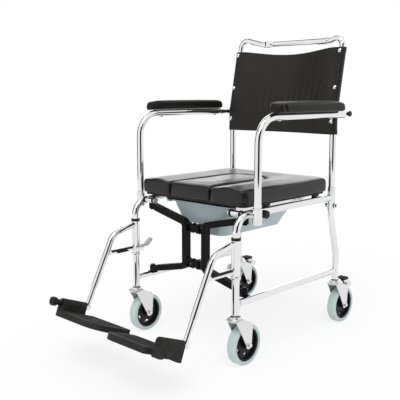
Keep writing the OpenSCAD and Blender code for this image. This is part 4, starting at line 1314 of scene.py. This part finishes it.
@dataclass
class Studio:
    """Floor, lights and the camera at the photograph's place.

    An upright card is given as turn round the chair in degrees, distance, width and height, and a card of the
    ceiling as turn, distance and width.
    """

    eye: Triple = (1417.2, -1410.4, 792.7)
    azimuth: float = 43.57
    pitch: float = 9.06
    lens: float = 59.81
    sensor: float = 36.0
    far: float = 200.0
    floor_half: float = 60.0
    floor_tone: float = 0.97
    floor_glow: float = 1.02
    floor_lift: float = 0.75
    ambient: float = 0.62
    sun: float = 1.35
    sun_spread: float = 50.0
    sun_turn: Triple = (32.0, 8.0, 15.0)
    card_tone: float = 0.005
    card_middle: float = 1.9
    cards: tuple[tuple[float, float, float, float], ...] = ((57.0, 3.4, 3.2, 3.6), (-80.0, 3.4, 2.6, 3.6))
    back_card: tuple[float, float, float, float] = (225.0, 3.6, 6.0, 2.3)
    back_glow: float = 2.2
    ceiling_z: float = 3.8
    ceiling_len: float = 7.0
    ceiling: tuple[Triple, ...] = ((43.0, 1.2, 0.6), (43.0, -2.2, 0.5), (133.0, 2.0, 0.5))

    def build(self, bench: Bench) -> None:
        """Sets up the whole stage.

        Args:
            bench: The bench that knows the frame.
        """
        scene = bpy.context.scene
        scene.view_settings.view_transform = "Standard"
        camera = bpy.data.objects.new("camera", bpy.data.cameras.new("camera"))
        camera.data.lens, camera.data.sensor_width = self.lens, self.sensor
        camera.data.clip_end = self.far
        camera.location = bench.place.at(*self.eye)
        camera.rotation_euler = (math.radians(90.0 - self.pitch), 0.0, math.radians(self.azimuth))
        scene.collection.objects.link(camera)
        scene.camera = camera
        self._world(scene)
        self._floor()
        self._lamps(scene)
        self._cards()

    @staticmethod
    def _seen(tree: Tree) -> bpy.types.NodeSocket:
        """Tells rays that see the background from those that only bring light.

        Args:
            tree: The nodes of a world or a material.

        Returns:
            A value of 1 for rays from the camera, a mirror or glass, and 0 for the rest.
        """
        path = tree.add("ShaderNodeLightPath")
        first = tree.add("ShaderNodeMath", operation="MAXIMUM")
        second = tree.add("ShaderNodeMath", operation="MAXIMUM")
        tree.join(path.outputs["Is Camera Ray"], first.inputs[0])
        tree.join(path.outputs["Is Glossy Ray"], first.inputs[1])
        tree.join(first.outputs[0], second.inputs[0])
        tree.join(path.outputs["Is Transmission Ray"], second.inputs[1])
        return second.outputs[0]

    def _world(self, scene: bpy.types.Scene) -> None:
        """Makes a world that is white where it is seen, and a plain soft light elsewhere.

        Args:
            scene: The scene that it lights.
        """
        world = bpy.data.worlds.new("studio")
        world.use_nodes = True
        world.node_tree.nodes.clear()
        tree = Tree(world.node_tree)
        shown = tree.add("ShaderNodeBackground", {"Color": (1, 1, 1, 1), "Strength": 1.0})
        light = tree.add("ShaderNodeBackground", {"Color": (1, 1, 1, 1), "Strength": self.ambient})
        mix = tree.add("ShaderNodeMixShader")
        out = tree.add("ShaderNodeOutputWorld")
        tree.join(self._seen(tree), mix.inputs[0])
        tree.join(light.outputs[0], mix.inputs[1])
        tree.join(shown.outputs[0], mix.inputs[2])
        tree.join(mix.outputs[0], out.inputs["Surface"])
        scene.world = world

    def _floor(self) -> None:
        """Makes a pale floor that keeps the chair's shadow."""
        bm = bmesh.new()
        bmesh.ops.create_grid(bm, x_segments=1, y_segments=1, size=self.floor_half)
        floor = link_mesh("floor", bm)
        made = bpy.data.materials.new("pale_floor")
        made.use_nodes = True
        made.node_tree.nodes.clear()
        tree = Tree(made.node_tree)
        matte = tree.add("ShaderNodeBsdfDiffuse", {"Color": (self.floor_tone, self.floor_tone, self.floor_tone, 1)})
        glow = tree.add("ShaderNodeEmission", {"Color": (1, 1, 1, 1), "Strength": self.floor_glow})
        lift = tree.add("ShaderNodeMath", {1: self.floor_lift}, operation="MULTIPLY")
        both = tree.add("ShaderNodeMixShader")
        out = tree.add("ShaderNodeOutputMaterial")
        tree.join(self._seen(tree), lift.inputs[0])
        tree.join(lift.outputs[0], both.inputs[0])
        tree.join(matte.outputs[0], both.inputs[1])
        tree.join(glow.outputs[0], both.inputs[2])
        tree.join(both.outputs[0], out.inputs["Surface"])
        floor.data.materials.append(made)

    def _lamps(self, scene: bpy.types.Scene) -> None:
        """Hangs one wide soft sun above the camera's left.

        Args:
            scene: The scene that it lights.
        """
        lamp = bpy.data.lights.new("key", "SUN")
        lamp.energy = self.sun
        lamp.angle = math.radians(self.sun_spread)
        key = bpy.data.objects.new("key", lamp)
        key.rotation_euler = [math.radians(turn) for turn in self.sun_turn]
        scene.collection.objects.link(key)

    def _upright(self, angle: float, reach: float, width: float, height: float) -> Matrix:
        """Stands a card of 1 by 1 m upright.

        Args:
            angle: Its turn round the chair, in degrees.
            reach: Its distance.
            width: Its width.
            height: Its height.

        Returns:
            The card's transform.
        """
        return (Matrix.Rotation(math.radians(angle), 4, "Z") @ Matrix.Translation((0, -reach, self.card_middle))
                @ Matrix.Rotation(math.radians(90), 4, "X") @ Matrix.Diagonal((width, height, 1, 1)))

    def _overhead(self, angle: float, reach: float, width: float) -> Matrix:
        """Lays a card of 1 by 1 m flat above the chair.

        Args:
            angle: Its turn round the chair, in degrees.
            reach: Its distance.
            width: Its width.

        Returns:
            The card's transform.
        """
        return (Matrix.Rotation(math.radians(angle), 4, "Z") @ Matrix.Translation((0, reach, self.ceiling_z))
                @ Matrix.Diagonal((self.ceiling_len, width, 1, 1)))

    @staticmethod
    def _card(name: str, matrix: Matrix, material: Material) -> None:
        """Makes a card that only gloss sees.

        Args:
            name: Its name.
            matrix: Its transform.
            material: Its material.
        """
        bm = bmesh.new()
        bmesh.ops.create_grid(bm, x_segments=1, y_segments=1, size=0.5)
        bmesh.ops.transform(bm, matrix=matrix, verts=bm.verts)
        card = link_mesh(name, bm)
        card.data.materials.append(material)
        card.visible_camera = card.visible_diffuse = card.visible_shadow = False
        card.visible_transmission = card.visible_volume_scatter = False

    def _cards(self) -> None:
        """Sets up dark cards for the streaks that chrome shows in a studio, and a bright one behind the chair."""
        dark = bpy.data.materials.new("dark_card")
        dark.use_nodes = True
        shader = dark.node_tree.nodes["Principled BSDF"]
        shader.inputs["Base Color"].default_value = (self.card_tone, self.card_tone, self.card_tone, 1)
        shader.inputs["Roughness"].default_value = 1.0
        places = [self._upright(*card) for card in self.cards] + [self._overhead(*card) for card in self.ceiling]
        for i, matrix in enumerate(places):
            self._card(f"dark_card_{i}", matrix, dark)
        bright = bpy.data.materials.new("bright_card")
        bright.use_nodes = True
        bright.node_tree.nodes.clear()
        tree = Tree(bright.node_tree)
        glow = tree.add("ShaderNodeEmission", {"Color": (1, 1, 1, 1), "Strength": self.back_glow})
        tree.join(glow.outputs[0], tree.add("ShaderNodeOutputMaterial").inputs["Surface"])
        self._card("bright_card", self._upright(*self.back_card), bright)


def main() -> None:
    """Builds the chair's looks round its frame."""
    logging.basicConfig(level=logging.INFO, format="%(name)s: %(message)s")
    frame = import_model()
    bench = Bench(Shelf(), Place(), frame)
    Studio().build(bench)
    bench.dress_nodes()
    Seat().build(bench)
    Arm().build(bench)
    Sling().build(bench)
    for side in Side:
        FrameTrim().build(bench, side)
        Footrest().build(bench, side)
        Brake().build(bench, side)
        for end in End:
            Castor().build(bench, side, end)
    bpy.context.view_layer.update()
    LOG.info("%d pieces made", len(bench.made))


if __name__ == "__main__":
    main()
